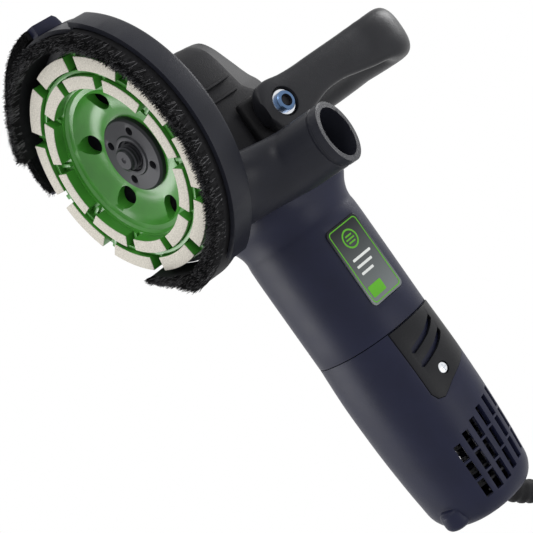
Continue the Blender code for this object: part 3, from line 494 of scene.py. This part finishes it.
def on_circle(radius, angle):
    turn = math.radians(angle)
    return radius * math.cos(turn), radius * math.sin(turn)


def wheel():
    profile = [(11.15, 22.0), (29.0, 22.0), (34.0, 20.0), (52.0, 12.6), (58.0, 11.4), (WHEEL_R, 11.0),
               (WHEEL_R, 6.4), (43.4, 6.4), (43.4, 7.6), (42.2, 9.0), (39.6, 9.6), (38.6, 11.6), (36.0, 14.6),
               (33.0, 16.2), (29.0, 17.0), (25.0, 17.2), (22.6, 16.6), (20.0, 16.9), (11.15, 17.6)]
    cup = turned("cup", profile, steps=144)
    holes = []
    for k in range(6):
        x, y = on_circle(33.2, 62 + 60 * k)
        holes.append(rod("hole", (x, y, 4), (x, y, 30), 5.8, sides=40))
    cut(cup, joined("cup_holes", holes))
    finished(cup, "cup_wheel_painted", "wheel_spindle", GREEN, ["cup_wheel"], bevel=0.4)

    blocks = []
    for row, (inner, outer) in enumerate(SEGMENT_ROWS):
        half_gap = 4.0 if row == 0 else 3.6
        for k in range(SEGMENTS):
            start = GAP_ANGLE + 36 * k + 18 * row + half_gap
            profile = [(inner, 0.0), (outer, 0.0), (outer, 6.5), (inner, 6.5)]
            blocks.append(sector("block", profile, start, start + 36 - 2 * half_gap, 10))
    rows = joined("segments", blocks)
    piece = finished(rows, "diamond_segment_blocks", "wheel_spindle", SEGMENT,
                     ["diamond_segments"], bevel=0.35)
    piece.data.materials.append(GREEN)
    for face in piece.data.polygons:
        if face.normal.z > -0.6 and face.center.z > -(NOSE_Z - 1.6) * MM:
            face.material_index = 1

    ribs = []
    for row, (inner, outer) in enumerate(((53.0, 62.4), (43.8, 53.0))):
        for k in range(SEGMENTS):
            middle = GAP_ANGLE + 36 * k + 18 * row
            profile = [(inner, 4.6), (outer, 4.6), (outer, 6.6), (inner, 6.6)]
            ribs.append(sector("rib", profile, middle - 1.3, middle + 1.3, 3))
    wall = turned("wall", [(51.8, 6.6), (54.0, 6.6), (54.0, 2.6), (51.8, 2.6)], steps=144)
    finished(wall, "segment_seat_ring", "wheel_spindle", GREEN, bevel=0.3)
    finished(joined("ribs", ribs), "segment_seat_ribs", "wheel_spindle", GREEN, bevel=0.3)


def spindle_end():
    nut = turned("nut", [(7.2, 17.3), (21.0, 17.3), (21.0, 14.2), (19.8, 13.0), (11.6, 13.0), (11.0, 12.1),
                         (9.0, 12.1), (8.4, 13.4), (7.2, 13.9)], steps=120)
    holes = []
    for k in range(4):
        x, y = on_circle(15.0, 44.5 + 90 * k)
        holes.append(rod("hole", (x, y, 10), (x, y, 16), 2.4, sides=28))
    cut(nut, joined("nut_holes", holes))
    finished(nut, "flange_nut_turned", "wheel_spindle", DARK_STEEL, ["flange_nut"], bevel=0.25)

    pitch, turns, steps = 2.0, 9, 40
    rings = []
    for i in range(turns * steps + 1):
        angle = 2 * math.pi * i / steps
        height = 7.9 + pitch * i / steps
        rings.append([(r * math.cos(angle), r * math.sin(angle), height + h)
                      for r, h in ((5.6, -0.8), (6.9, -0.15), (6.9, 0.15), (5.6, 0.8))])
    thread = loft("thread", rings)
    finished(thread, "spindle_thread", "wheel_spindle", DARK_STEEL)
    core = [(0, 91.5), (5.0, 91.5), (5.0, 82.5), (8.0, 82.5), (8.0, 51.4), (10.4, 51.4), (10.4, 50.6),
            (8.5, 50.6), (8.5, 39.6), (11.0, 39.6), (11.0, 27.4), (5.9, 27.4), (5.9, 8.0), (5.2, NOSE_Z),
            (1.7, NOSE_Z), (0, 8.2)]
    shaft = turned("core", core, closed=False, steps=64)
    finished(shaft, "spindle_core", "wheel_spindle", DARK_STEEL,
             ["spindle"])


# ---------------------------------------------------------------- gear head

HEAD_ROWS = (
    (-32.0, 15.0, 46.0, 66.0, 80.0, 5.0), (-30.0, 19.0, 43.0, 72.0, 86.5, 8.0),
    (-24.0, 24.5, 41.0, 74.5, 90.5, 10.0), (-14.0, 28.5, 40.0, 75.0, 94.5, 11.0),
    (-2.0, 31.0, 40.0, 75.5, 99.0, 12.0), (4.0, 32.0, 40.0, 77.0, 102.5, 12.5),
    (12.0, 34.2, 40.0, 84.0, 105.5, 12.5), (18.0, 35.3, 40.0, 88.5, 107.5, 13.5),
    (34.0, 35.5, 40.0, 97.0, 110.5, 19.0), (HEAD_END, 35.8, 39.7, 101.5, 111.3, 23.5),
)


def head_ring(x, half, bottom, wall, roof, crest):
    side = [(half - 4, bottom), (half - 1, bottom + 1.2), (half, bottom + 4), (half, wall - 4),
            (half - 0.7, wall),
            (half - 2.6, wall + 2.2), (crest + 3, roof - 1.6), (crest - 2, roof)]
    return [Vector((x, y, z)) for y, z in side] + [Vector((x, -y, z)) for y, z in reversed(side)]


def gear_head():
    head = loft("head", [head_ring(*row) for row in eased(HEAD_ROWS, 4)])
    cut(head, rod("button_bore", (-17, 0, 86.6), (-17, 0, 120), 7.0))
    pockets = []
    for side_y in (-1, 1):
        for side_z in (-1, 1):
            y, z = 27.6 * side_y, MOTOR_Z + 27.6 * side_z
            pockets.append(rod("pocket", (36, y, z), (47.4, y, z), 4.0))
    cut(head, joined("screw_pockets", pockets))
    cut(head, rod("pot", (0, 0, 30), (0, 0, 40.2), 33.6, sides=64))
    finished(head, "gearbox_casting", "housing", CAST, ["gearbox_housing"], bevel=0.5,
             angle=24.0)
    ribs = []
    for side in (-1, 1):
        for x in (-6.0, 2.0):
            low, high = sorted((side * 30.0, side * 33.0))
            ribs.append(box("rib", (x, low, 41.0), (x + 1.4, high, 71.0)))
    webs = joined("head_ribs", ribs)
    finished(webs, "gearbox_side_ribs", "housing", CAST, bevel=0.4)


# ---------------------------------------------------------------- motor and tail housings

MOTOR_ROWS = (
    (HEAD_END + GAP, 35.8, 39.7, 111.3, 4.0), (64.0, 35.9, 39.6, 111.4, 3.8), (71.0, 35.3, 40.2, 110.8, 3.2),
    (77.0, 33.8, 41.7, 109.3, 2.6), (84.0, 33.0, 42.5, 108.5, 2.3), (96.0, 33.5, 42.0, 109.0, 2.3),
    (SEAM_X - GAP, 33.5, 42.0, 109.0, 2.3),
)


def tail_row(x, half):
    return (x, half, MOTOR_Z - half, MOTOR_Z + half, 2.3)


TAIL_ROWS = (
    tail_row(SEAM_X + 0.2, 33.5), tail_row(180, 34.5), tail_row(202, 34.4), tail_row(220, 33.9),
    tail_row(240, 32.8), tail_row(252, 31.8), tail_row(260, 31.0), tail_row(265, 29.2), tail_row(268.5, 26.8),
    tail_row(TAIL_END, 24.4),
)
LABEL_LOW, LABEL_HIGH = (92.8, 62.1), (140.2, 87.9)
COVER_LOW, COVER_HIGH = (156.6, 59.8), (200.0, 100.0)
SIDES = ((-1, "left"), (1, "right"))
VENT_ROWS = ((-34, 226.5, 260.0), (-20.5, 223.0, 260.0), (-7, 220.0, 259.5), (7, 217.5, 257.5),
             (21.5, 216.0, 256.0), (36, 214.5, 254.5))


def motor_body():
    body = sections("body", MOTOR_ROWS)
    inside = [(x, half, bottom, top, power) for x, half, bottom, top, power in MOTOR_ROWS]
    inside[0] = (HEAD_END - 3, *inside[0][1:])
    inside[-1] = (SEAM_X + 3, *inside[-1][1:])
    cut(body, sections("hollow", inside, inset=3.0, count=64, steps=2))
    cut(body, box("switch_pocket", (96, -8.4, 106.6), (150, 8.4, 118)))
    for side, name in SIDES:
        low, high = sorted((side * 32.2, side * 40))
        cut(body, plate(f"label_pocket_{name}", rounded((92.5, 61.8), (140.5, 88.2), 3.2), low, high))
        low, high = sorted((side * 35.2, side * 40))
        facet = plate(f"facet_{name}", [(58, 30), (84, 30), (73, 58), (60, 63)], low, high)
        cut(body, facet)
    finished(body, "motor_shell", "housing", NAVY, ["motor_housing"], bevel=0.3)


def film(name, body, outline, side, depth, thick, finish):
    low, high = sorted((side * depth, side * (depth + thick)))
    return finished(plate("film", outline, low, high), name, body, finish, bevel=0.08)


def frame_of(outline_out, outline_in, low, high):
    """A flat ring between two outlines of as many points, extruded along Y."""
    bm = bmesh.new()
    loops = []
    for outline, y in ((outline_out, low), (outline_out, high), (outline_in, high), (outline_in, low)):
        loops.append([bm.verts.new((x * MM, y * MM, z * MM)) for x, z in outline])
    for a, b in zip(loops, loops[1:] + loops[:1]):
        for i in range(len(a)):
            j = (i + 1) % len(a)
            bm.faces.new((a[i], a[j], b[j], b[i]))
    bmesh.ops.recalc_face_normals(bm, faces=bm.faces)
    return add("frame_outline", mesh_from(bm, "frame_outline"))


def labels():
    for side, name in SIDES:
        (x0, z0), (x1, z1) = LABEL_LOW, LABEL_HIGH
        face = plate("label", rounded((x0, z0), (x1, z1), 3.0), *sorted((side * 32.0, side * 32.9)))
        finished(face, f"label_film_{name}", "housing", LABEL, [f"label_plate_{name}"], bevel=0.15)
        low, high = sorted((side * 32.88, side * 32.98))
        border = frame_of(rounded((x0 + 1.2, z0 + 1.2), (x1 - 1.2, z1 - 1.2), 2.4),
                          rounded((x0 + 1.8, z0 + 1.8), (x1 - 1.8, z1 - 1.8), 2.0), low, high)
        finished(border, f"label_border_{name}", "housing", LIME)
        circle = [(103 + a, 75 + b) for a, b in arc_points(5.6, 0, 351, 40)]
        inner = [(103 + a, 75 + b) for a, b in arc_points(4.6, 0, 351, 40)]
        finished(frame_of(circle, inner, low, high), f"label_mark_ring_{name}", "housing", LIME)
        bars = []
        for k, half in enumerate((2.6, 3.3, 2.6)):
            x = 100.6 + 2.0 * k
            corners = [(x, 75 - half), (x + 0.9, 75 - half), (x + 0.9, 75 + half), (x, 75 + half)]
            bars.append(plate("bar", corners, low, high))
        finished(joined("bars", bars), f"label_mark_bars_{name}", "housing", LIME)
        chip = plate("chip", rounded((129.4, z0 + 3.0), (136.2, z0 + 14.0), 0.8), low, high)
        finished(chip, f"label_chip_{name}", "housing", LIME)
        lines = []
        for k in range(3):
            x = 113.0 + 4.2 * k
            lines.append(plate("line", rounded((x, 67.5), (x + 1.5, 82.5 - 2.5 * k), 0.5), low, high))
        finished(joined("lines", lines), f"label_lines_{name}", "housing", PALE_PRINT)


def cover_outline(grow):
    (x0, z0), (x1, z1) = COVER_LOW, COVER_HIGH
    return ((x0 - grow, z1 + grow), (x0 - grow, z0 - grow), (x1 - 4, z0 - grow), (x1 + grow, z0 + 2 - grow),
            (x1 + 1.4 + grow, z0 + 6), (x1 - 3 + grow, z0 + 16), (x1 - 6.4 + grow, z0 + 28),
            (x1 - 9.5 + grow, z1 - 2 + grow), (x1 - 13, z1 + grow))


def wide_tail():
    return (tail_row(140, 33.5), *TAIL_ROWS[1:])


def tail_body():
    tail = sections("tail", TAIL_ROWS, steps=3)
    hollow = list(TAIL_ROWS[:-1])
    hollow[0] = (SEAM_X - 3, *hollow[0][1:])
    cut(tail, sections("hollow", hollow, inset=3.0, count=64, steps=2))
    for side, name in SIDES:
        slots = []
        for angle, start, end in VENT_ROWS:
            width = (end - start - 2.6) / 3
            turn = Matrix.Rotation(math.radians(side * angle), 4, "X")
            for k in range(3):
                x = start + k * (width + 1.3)
                low, high = sorted((side * 26, side * 40))
                slot = box("slot", (x, low, -2.2), (x + width, high, 2.2))
                slot.matrix_basis = Matrix.Translation((0, 0, MOTOR_Z * MM)) @ turn @ slot.matrix_basis
                slots.append(slot)
        cut(tail, joined(f"vents_{name}", slots))
        low, high = sorted((side * 15, side * 50))
        pocket = plate(f"pocket_{name}", cover_outline(GAP), low, high)
        floor = sections("pocket_floor", wide_tail(), inset=2.2, count=64, steps=2)
        cut(pocket, floor)
        cut(tail, pocket)
    cut(tail, rod("cord_bore", (262, 0, 90.4), (280, 0, 90.4), 8.1))
    foot = rod("tail_foot", (256, -3, 47.5), (268.5, -3, 47.5), 8.0)
    corner = foot.modifiers.new("round", "BEVEL")
    corner.width = 4.0 * MM
    corner.segments = 5
    corner.angle_limit = math.radians(60)
    boolean(tail, foot, "UNION")
    finished(tail, "tail_shell", "housing", NAVY, ["tail_housing"], bevel=0.25)
    ribs = []
    for k in range(5):
        x = 221.0 + 8.0 * k
        ribs.append(turned("baffle", [(22.0, x), (29.5, x), (29.5, x + 1.2), (22.0, x + 1.2)], along="X",
                           at=(0, 0, MOTOR_Z), steps=64))
    for k, rib in enumerate(ribs):
        finished(rib, f"tail_baffle_{k + 1}", "housing", DARK_PLASTIC)


def brush_covers():
    for side, name in SIDES:
        low, high = sorted((side * 15, side * 50))
        cover = plate("cover", cover_outline(0.0), low, high)
        boolean(cover, sections("cover_face", wide_tail(), inset=-0.25, steps=3), "INTERSECT")
        cut(cover, sections("cover_back", wide_tail(), inset=1.9, count=64, steps=2))
        for k in range(2):
            x0 = 168.5 + 9 * k
            slot = plate("slot", [(x0 + dx, MOTOR_Z + 1.5 + dz) for dx, dz in (
                (3.4, -13), (4.6, -11.5), (3.0, -4), (1.2, 3), (-1.2, 9), (-3.8, 13.4),
                (-6.6, 13.0), (-4.4, 8),
                (-2.4, 3), (-0.6, -4), (1.0, -11.5))], *sorted((side * 20, side * 45)))
            cut(cover, slot)
        cut(cover, rod("hole", (189, side * 20, MOTOR_Z), (189, side * 50, MOTOR_Z), 3.7))
        finished(cover, f"brush_cover_moulded_{name}", "housing", DARK_PLASTIC,
                 [f"brush_cover_{name}"], bevel=0.3)
        screw = turned("screw", [(r, side * h) for r, h in (
            (0, 34.6), (2.4, 34.5), (3.2, 34.0), (3.2, 32.9), (1.6, 32.9), (1.6, 24), (0, 24))], closed=False,
            along="Y", at=(189, 0, MOTOR_Z), steps=32)
        low, high = sorted((side * 33.6, side * 36))
        cut(screw, box("drive_a", (186.9, low, MOTOR_Z - 0.4), (191.1, high, MOTOR_Z + 0.4)))
        cut(screw, box("drive_b", (188.6, low, MOTOR_Z - 2.1), (189.4, high, MOTOR_Z + 2.1)))
        finished(screw, f"cover_screw_driven_{name}", "housing", ZINC, [f"cover_screw_{name}"])


# ---------------------------------------------------------------- dust shroud

def port_point(back):
    tilt = math.radians(PORT_TILT)
    x, y, z = PORT_CENTRE
    return Vector((x, y + back * math.cos(tilt), z - back * math.sin(tilt)))


def port_circle(back, radius, count=64):
    tilt = math.radians(PORT_TILT)
    centre = port_point(back)
    up = Vector((0, math.sin(tilt), math.cos(tilt)))
    side = Vector((1, 0, 0))
    turns = [2 * math.pi * i / count for i in range(count)]
    return [centre + side * radius * math.cos(t) + up * radius * math.sin(t) for t in turns]


def duct_oval(height, across, along, count=64):
    centre = Vector((46.5, -46.0, height))
    out = Vector((0.711, -0.703, 0))
    tangent = Vector((0.703, 0.711, 0))
    points = []
    for i in range(count):
        t = 2 * math.pi * i / count
        flat = Vector((math.cos(t), math.sin(t)))
        radial = flat.x * out.x + flat.y * out.y
        turning = flat.x * tangent.x + flat.y * tangent.y
        points.append(centre + out * across * radial + tangent * along * turning)
    return points


def duct_rings(inset):
    """The port's round tube, eased into the oval foot on the shroud."""
    small, big = PORT_R
    radius = small if inset else big
    start = -2.0 if inset else 0.0
    neck = port_circle(26, radius)
    foot = duct_oval(16.0, 13.0 - inset, 22.0 - inset)
    low = duct_oval(8.0 if inset else 13.5, 13.0 - inset, 22.0 - inset)
    tilt = math.radians(PORT_TILT)
    inward = Vector((0, math.cos(tilt), -math.sin(tilt))) * 24
    down = Vector((0, 0, -1)) * 26
    rings = [port_circle(start, radius)]
    for t in spread(0.0, 1.0, 12):
        h0, h1 = 2 * t ** 3 - 3 * t ** 2 + 1, t ** 3 - 2 * t ** 2 + t
        h2, h3 = 3 * t ** 2 - 2 * t ** 3, t ** 3 - t ** 2
        rings.append([a * h0 + inward * h1 + b * h2 + down * h3 for a, b in zip(neck, foot)])
    return rings + [low]


def shroud_body():
    profile = [(24.2, 35.6), (26.4, 35.6), (26.4, 29.6), (40.0, 29.6), (43.4, 29.0), (46.0, 27.4),
               (60.0, 19.4),
               (64.0, 17.9), (76.0, 16.6), (78.6, 15.9), (80.0, 14.8), (SHROUD_R, 13.2), (SHROUD_R, 1.0),
               (77.7, 1.0), (77.7, 12.6), (76.0, 13.8), (61.0, 16.0), (45.0, 24.8),
               (38.0, 27.0), (24.2, 27.3)]
    body = turned("shroud_turn", profile, steps=180)
    boolean(body, loft("duct_outer", duct_rings(0.0)), "UNION")
    cut(body, loft("duct_inner", duct_rings(3.2)))
    lip = [(17.25, 4.2), (16.4, 4.7), (16.4, 6.3), (17.25, 6.8), (20.0, 6.8), (20.0, 4.2)]
    groove = turned("port_groove", lip, steps=96)
    centre = port_point(0)
    back = (port_point(1) - centre).normalized()
    groove.rotation_euler = back.to_track_quat("Z", "Y").to_euler()
    groove.location = centre * MM
    cut(body, groove)
    cut(body, sector("edge_opening", [(66, -3), (90, -3), (90, 22), (66, 22)], *OPENING, 71))
    cut(body, sector("gate_track", [(76.9, -3), (90, -3), (90, 22), (76.9, 22)], *TRACK, 49))
    wall = [(74.5, 1.1), (76.7, 1.1), (76.7, 16.1), (74.5, 15.4)]
    boolean(body, sector("track_wall", wall, OPENING[1] + 0.6, TRACK[1] + 1.1, 49), "UNION")
    end = [(75.1, 1.3), (79.3, 1.3), (79.3, 13.4), (75.1, 13.4)]
    boolean(body, sector("track_end", end, TRACK[1] + 0.3, TRACK[1] + 2, 5), "UNION")
    finished(body, "shroud_moulded", "housing", SHROUD, ["shroud"], bevel=0.35, angle=30.0)


RING_OUTER = ((211.0, 74.2), (211.2, 77.2), (357.0, 77.2), (360.0, 75.9), (367.0, 70.9), (373.0, 68.3),
              (379.0, 66.6), (386.0, 65.6))
RING_INNER = ((357.0, 68.0), (367.0, 65.6), (386.0, 64.4))
GATE_TIPS = ((98.0, 7.6), (101.0, 6.4), (105.0, 4.8), (113.0, 3.6), (124.0, 2.6), (134.0, 1.8), (150.0, 0.4))


def strands(name, chance, body, finish, stalks):
    """Thin tapering bristles, each from a root (radius, angle, height) down to a tip height."""
    verts, faces = [], []
    for radius, angle, root, tip in stalks:
        lean_out, lean_round = chance.gauss(0, 0.10), chance.gauss(0, 0.9)
        curl = chance.gauss(0, 0.35)
        base = len(verts)
        for step, thick in enumerate((0.19, 0.17, 0.10)):
            share = step / 2
            height = root + (tip - root) * share
            fall = (root - height)
            r = radius + lean_out * fall + curl * share * share
            x, y = on_circle(r, angle + lean_round * share)
            for k in range(3):
                dx, dy = on_circle(thick, 120 * k)
                verts.append(((x + dx) * MM, (y + dy) * MM, (height - NOSE_Z) * MM))
        for step in range(2):
            for k in range(3):
                a, b = base + 3 * step + k, base + 3 * step + (k + 1) % 3
                faces.append((a, b, b + 3, a + 3))
        faces.append((base + 6, base + 7, base + 8))
    mesh = bpy.data.meshes.new(name)
    mesh.from_pydata(verts, [], faces)
    mesh.materials.append(finish)
    obj = add(name, mesh)
    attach(obj, body)


def brushes():
    def ring_core(angle):
        inner, outer = between(RING_INNER, angle), between(RING_OUTER, angle)
        return ((inner + 0.4, -5.6), (max(outer - 0.4, inner + 0.5), -5.6), (outer, 12.2),
                (max(outer - 1.4, inner + 0.1), 12.9), (inner, 12.9))

    angles = [*spread(117.5, 211.0, 50), *spread(211.2, 357.0, 76), 360.0,
              363.5, 367.0, 370.0, 373.0, 379.0, 386.0]
    core = swept("core", ring_core, angles)
    finished(core, "brush_ring_core", "housing", BRISTLE, ["brush_ring"])

    def gate_core(angle):
        tip = between(GATE_TIPS, angle) + 1.6
        return ((78.1, tip), (83.1, tip), (83.1, 9.8), (78.1, 9.8))

    finished(swept("core", gate_core, [98.0, 101.0, *spread(105.0, 180.7, 45)]), "gate_brush_core", "gate",
             BRISTLE, ["gate_brush"])
    chance = random.Random(7)
    dark, pale = [], []
    for _ in range(15000):
        angle = chance.uniform(117.7, 385.5)
        inner, outer = between(RING_INNER, angle), between(RING_OUTER, angle)
        radius = chance.uniform(inner, outer)
        tip = BRISTLE_TIP + abs(chance.gauss(0, 0.9))
        band = math.sin(math.radians(angle * 9)) + math.sin(math.radians(angle * 23))
        light = chance.random() < (0.5 if radius < inner + 3.4 and band > -0.4 else 0.2)
        (pale if light else dark).append((radius, angle, -2.0, tip))
    strands("brush_ring_strands", chance, "housing", BRISTLE, dark)
    strands("brush_ring_pale_strands", chance, "housing", PALE_BRISTLE, pale)
    outer_strands = []
    for _ in range(3500):
        angle = chance.uniform(98.2, 180.5)
        tip = between(GATE_TIPS, angle) + abs(chance.gauss(0, 0.5))
        outer_strands.append((chance.uniform(78.0, 83.1), angle, tip + 3.2, tip))
    strands("gate_brush_strands", chance, "gate", BRISTLE, outer_strands)

    hood = [(66.5, 21.0), (78.0, 21.0), (81.4, 19.8), (83.2, 18.0), (83.2, 10.1), (77.1, 10.1), (77.1, 17.2),
            (74.0, 17.2), (66.5, 18.4)]
    cover = sector("hood", hood, 97.0, 185.0, 60)
    end = sector("hood_end", [(77.1, 4.0), (83.2, 4.0), (83.2, 12.0), (77.1, 12.0)], 181.0, 185.0, 5)
    boolean(cover, end, "UNION")
    finished(cover, "gate_hood_moulded", "gate", NAVY, ["gate_hood"], bevel=0.35)


# ---------------------------------------------------------------- bail handle

def handle_rows():
    leg = [(63.0, 7.0, 22.6), (65.5, 11.5, 22.6), (70.0, 14.3, 22.8), (77.0, 15.0, 23.0), (86.0, 13.9, 23.2),
           (98.0, 12.0, 21.8), (110.0, 10.8, 20.4), (124.0, 10.8, 20.3), (138.0, 12.0, 21.4),
           (150.0, 13.2, 22.3)]
    rows = [(-47.0, z, half, 4.8, 0.0, x) for z, half, x in leg]
    for angle, half, thick, x in ((0, 14.0, 5.6, 23.0), (25, 15.4, 7.8, 24.2), (50, 16.2, 10.4, 25.0),
                                  (75, 16.4, 12.6, 25.2)):
        a = math.radians(angle)
        rows.append((-25 - 22 * math.cos(a), GRIP_TOP - 24 + 22 * math.sin(a), half, thick, a, x))
    rows.append((-12.0, GRIP_TOP - 0.6, 16.2, 13.6, math.pi / 2, 25.0))
    middle = [(0.0, GRIP_TOP, 16.0, 13.8, math.pi / 2, 24.8)]
    mirrored = [(-y, z, half, thick, math.pi - lean, x) for y, z, half, thick, lean, x in reversed(rows)]
    return rows + middle + mirrored


def bail():
    rings = []
    for y, z, half, thick, lean, x in eased(handle_rows(), 3):
        shape = oval(half, thick, 2.8, 56)
        out = Vector((0, -math.cos(lean), math.sin(lean)))
        rings.append([Vector((x + a, y, z)) + out * b for a, b in shape])
    handle = loft("handle", rings)
    for side, name in SIDES:
        recess = rod("recess", (BOLT_X, side * 48.6, BOLT_Z), (BOLT_X, side * 56, BOLT_Z), 8.4, sides=56)
        bore = rod("bore", (BOLT_X, side * 40, BOLT_Z), (BOLT_X, side * 56, BOLT_Z), 4.4)
        cut(handle, recess, bore)
        low, high = sorted((side * 46.0, side * 48.2))
        slots = [box("slot", (4.0, low, 146.0 + 9 * k), (14.6, high, 153.0 + 9 * k)) for k in range(2)]
        cut(handle, joined("slots", slots))
    finished(handle, "bail_handle_moulded", "handle", HANDLE, ["bail_handle"], bevel=0.4)
    for side, name in SIDES:
        low, high = sorted((side * 36.1, side * 41.7))
        boss = box("boss", (10.5, low, 57.5), (35.5, high, 92.0))
        finished(boss, f"handle_pad_{name}", "housing", RUBBER, [f"handle_boss_{name}"], bevel=2.2)
        washer = turned("washer", [(r, side * h) for r, h in (
            (4.6, 48.9), (7.6, 48.9), (7.6, 49.8), (7.0, 50.4), (4.6, 50.4))],
            along="Y", at=(BOLT_X, 0, BOLT_Z), steps=64)
        finished(washer, f"handle_washer_turned_{name}", "housing", ZINC, [f"handle_washer_{name}"])
        bolt = turned("bolt", [(r, side * h) for r, h in (
            (0, 32.5), (4.0, 32.5), (4.0, 50.4), (5.6, 50.4), (5.6, 52.6), (5.0, 53.2), (3.4, 53.3))],
            closed=False, along="Y", at=(BOLT_X, 0, BOLT_Z), steps=48)
        head = turned("socket", [(r, side * h) for r, h in ((3.4, 53.3), (3.2, 51.2), (0, 51.0))],
                      closed=False, along="Y", at=(BOLT_X, 0, BOLT_Z), steps=6)
        finished(bolt, f"handle_bolt_head_{name}", "housing", BLUED, [f"handle_bolt_{name}"])
        finished(head, f"handle_bolt_socket_{name}", "housing", DARK_STEEL)


# ---------------------------------------------------------------- cord

COIL_CENTRE = (437.0, 59.0)
CORD_BEND = 36.0
CORD_FLOOR = BRISTLE_TIP + CORD_D / 2
LAYER = 9.3
COIL_IN, COIL_OUT, COIL_TURN = 38.2, 59.0, 2.26
COIL_TURNS = 4.5
GUARD_LINE = [(263.5, 0, 90.4), (271.3, 0, 90.6), (277.0, 0, 94.4), (283.0, 0, 101.0), (288.5, 0, 108.5),
              (292.6, 0, 115.6)]
GUARD_R = (7.2, 7.1, 7.0, 6.8, 6.2, 5.3)
PLUG_TAIL = Vector((COIL_CENTRE[0] - 33.6, COIL_CENTRE[1] + 59.0, BRISTLE_TIP + 17.6))


def smooth(share):
    share = min(max(share, 0.0), 1.0)
    return share * share * (3 - 2 * share)


def drop_points():
    """Out of the guard, over, and down to the floor."""
    x, _, z = GUARD_LINE[-1]
    points = [(x, 0.0, z)]
    heading = math.radians(60)
    x, z = x + 0.9 * math.cos(heading), z + 0.9 * math.sin(heading)
    centre = (x + CORD_BEND * math.sin(heading), z - CORD_BEND * math.cos(heading))
    for a in spread(150, 6, 9):
        turn = math.radians(a)
        points.append((centre[0] + CORD_BEND * math.cos(turn), 0.0, centre[1] + CORD_BEND * math.sin(turn)))
    drop = math.radians(-84)
    x, _, z = points[-1]
    low = CORD_FLOOR + CORD_BEND - CORD_BEND * math.cos(drop)
    length = (z - low) / -math.sin(drop)
    for k in (1, 2):
        points.append((x + length * k / 3 * math.cos(drop), 0.0, z + length * k / 3 * math.sin(drop)))
    foot = x + length * math.cos(drop)
    centre = (foot - CORD_BEND * math.sin(drop), CORD_FLOOR + CORD_BEND)
    for a in spread(186, 270, 6):
        turn = math.radians(a)
        points.append((centre[0] + CORD_BEND * math.cos(turn), 0.0, centre[1] + CORD_BEND * math.sin(turn)))
    return points


def coil_points():
    """Inwards on the floor, up one layer at the middle, outwards again, then straight to the plug."""
    inward = (COIL_OUT + 0.2 - COIL_IN) / COIL_TURN
    outward = (COIL_OUT - COIL_IN) / (COIL_TURNS - COIL_TURN)
    points = []
    count = int(COIL_TURNS * 16)
    for i in range(count + 1):
        turn = COIL_TURNS * i / count
        away = turn - COIL_TURN
        radius = COIL_IN + (-away * inward if away < 0 else away * outward)
        height = CORD_FLOOR + LAYER * smooth((away + 0.25) / 0.4)
        height += (PLUG_TAIL.z - CORD_FLOOR - LAYER) * smooth((turn - COIL_TURNS + 0.25) / 0.36)
        x, y = on_circle(radius, -90 + 360 * turn)
        points.append((COIL_CENTRE[0] + x, COIL_CENTRE[1] + y, height))
    last = Vector(points[-1])
    for share in (0.35, 0.7, 1.0):
        x = last.x + (PLUG_TAIL.x - last.x) * share
        points.append((x, PLUG_TAIL.y, last.z + (PLUG_TAIL.z - last.z) * share))
    return points


def circles_along(points, radii, sides):
    rings = []
    for i, point in enumerate(points):
        here = Vector(point)
        before = Vector(points[max(i - 1, 0)])
        after = Vector(points[min(i + 1, len(points) - 1)])
        forward = (after - before).normalized()
        side = Vector((0, 1, 0))
        up = forward.cross(side).normalized()
        turns = [2 * math.pi * k / sides for k in range(sides)]
        rings.append([here + side * radii[i] * math.cos(t) + up * radii[i] * math.sin(t) for t in turns])
    return rings


def cord_and_plug():
    rows = eased([(*p, r) for p, r in zip(GUARD_LINE, GUARD_R)], 6)
    line = [row[:3] for row in rows]
    radii = [row[3] + (0.0 if i < 12 else (0.35 if i % 4 < 2 else -0.45)) for i, row in enumerate(rows)]
    finished(loft("guard", circles_along(line, radii, 40)), "cord_guard_ribbed", "housing", RUBBER,
             ["cord_guard"])
    data = bpy.data.curves.new("mains_cord_line", "CURVE")
    data.dimensions = "3D"
    data.bevel_depth = CORD_D / 2 * MM
    data.bevel_resolution = 6
    data.resolution_u = 4
    data.use_fill_caps = True
    points = drop_points() + coil_points()[1:]
    spline = data.splines.new("BEZIER")
    spline.bezier_points.add(len(points) - 1)
    for knot, (x, y, z) in zip(spline.bezier_points, points):
        knot.co = (x * MM, y * MM, (z - NOSE_Z) * MM)
        knot.handle_left_type = "AUTO"
        knot.handle_right_type = "AUTO"
    data.materials.append(RUBBER)
    cable = add("mains_cord_laid", data)
    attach(cable, "housing")
    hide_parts("mains_cord", "cord_coil")
    body = [(0, 58.5), (15.0, 58.5), (16.6, 57.8), (17.2, 56.0), (17.2, 45.0), (16.4, 38.5), (15.0, 34.0),
            (11.6, 28.6), (8.6, 24.0), (7.2, 18.0), (6.4, 13.0), (6.8, 12.0), (6.8, 10.6), (6.0, 9.8),
            (6.4, 8.8),
            (6.4, 7.4), (5.7, 6.6), (6.0, 5.6), (6.0, 4.2), (5.4, 3.4), (5.4, 0.0), (0, 0.0)]
    shell = turned("plug", [(r, -h) for r, h in body], closed=False, along="X", at=PLUG_TAIL, steps=72)
    plug = finished(shell, "plug_moulded", "housing", RUBBER, ["plug_body"], bevel=0.2)
    x, y, z = points[0]


dress_frame()
cord_and_plug()
wheel()
spindle_end()
gear_head()
motor_body()
labels()
tail_body()
brush_covers()
shroud_body()
brushes()
bail()

size_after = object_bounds()


def plain(value):
    if hasattr(value, "__len__") and not isinstance(value, str):
        return [plain(item) for item in value]
    return float(value)


{"cad": plain(size_before), "visual": plain(size_after)}
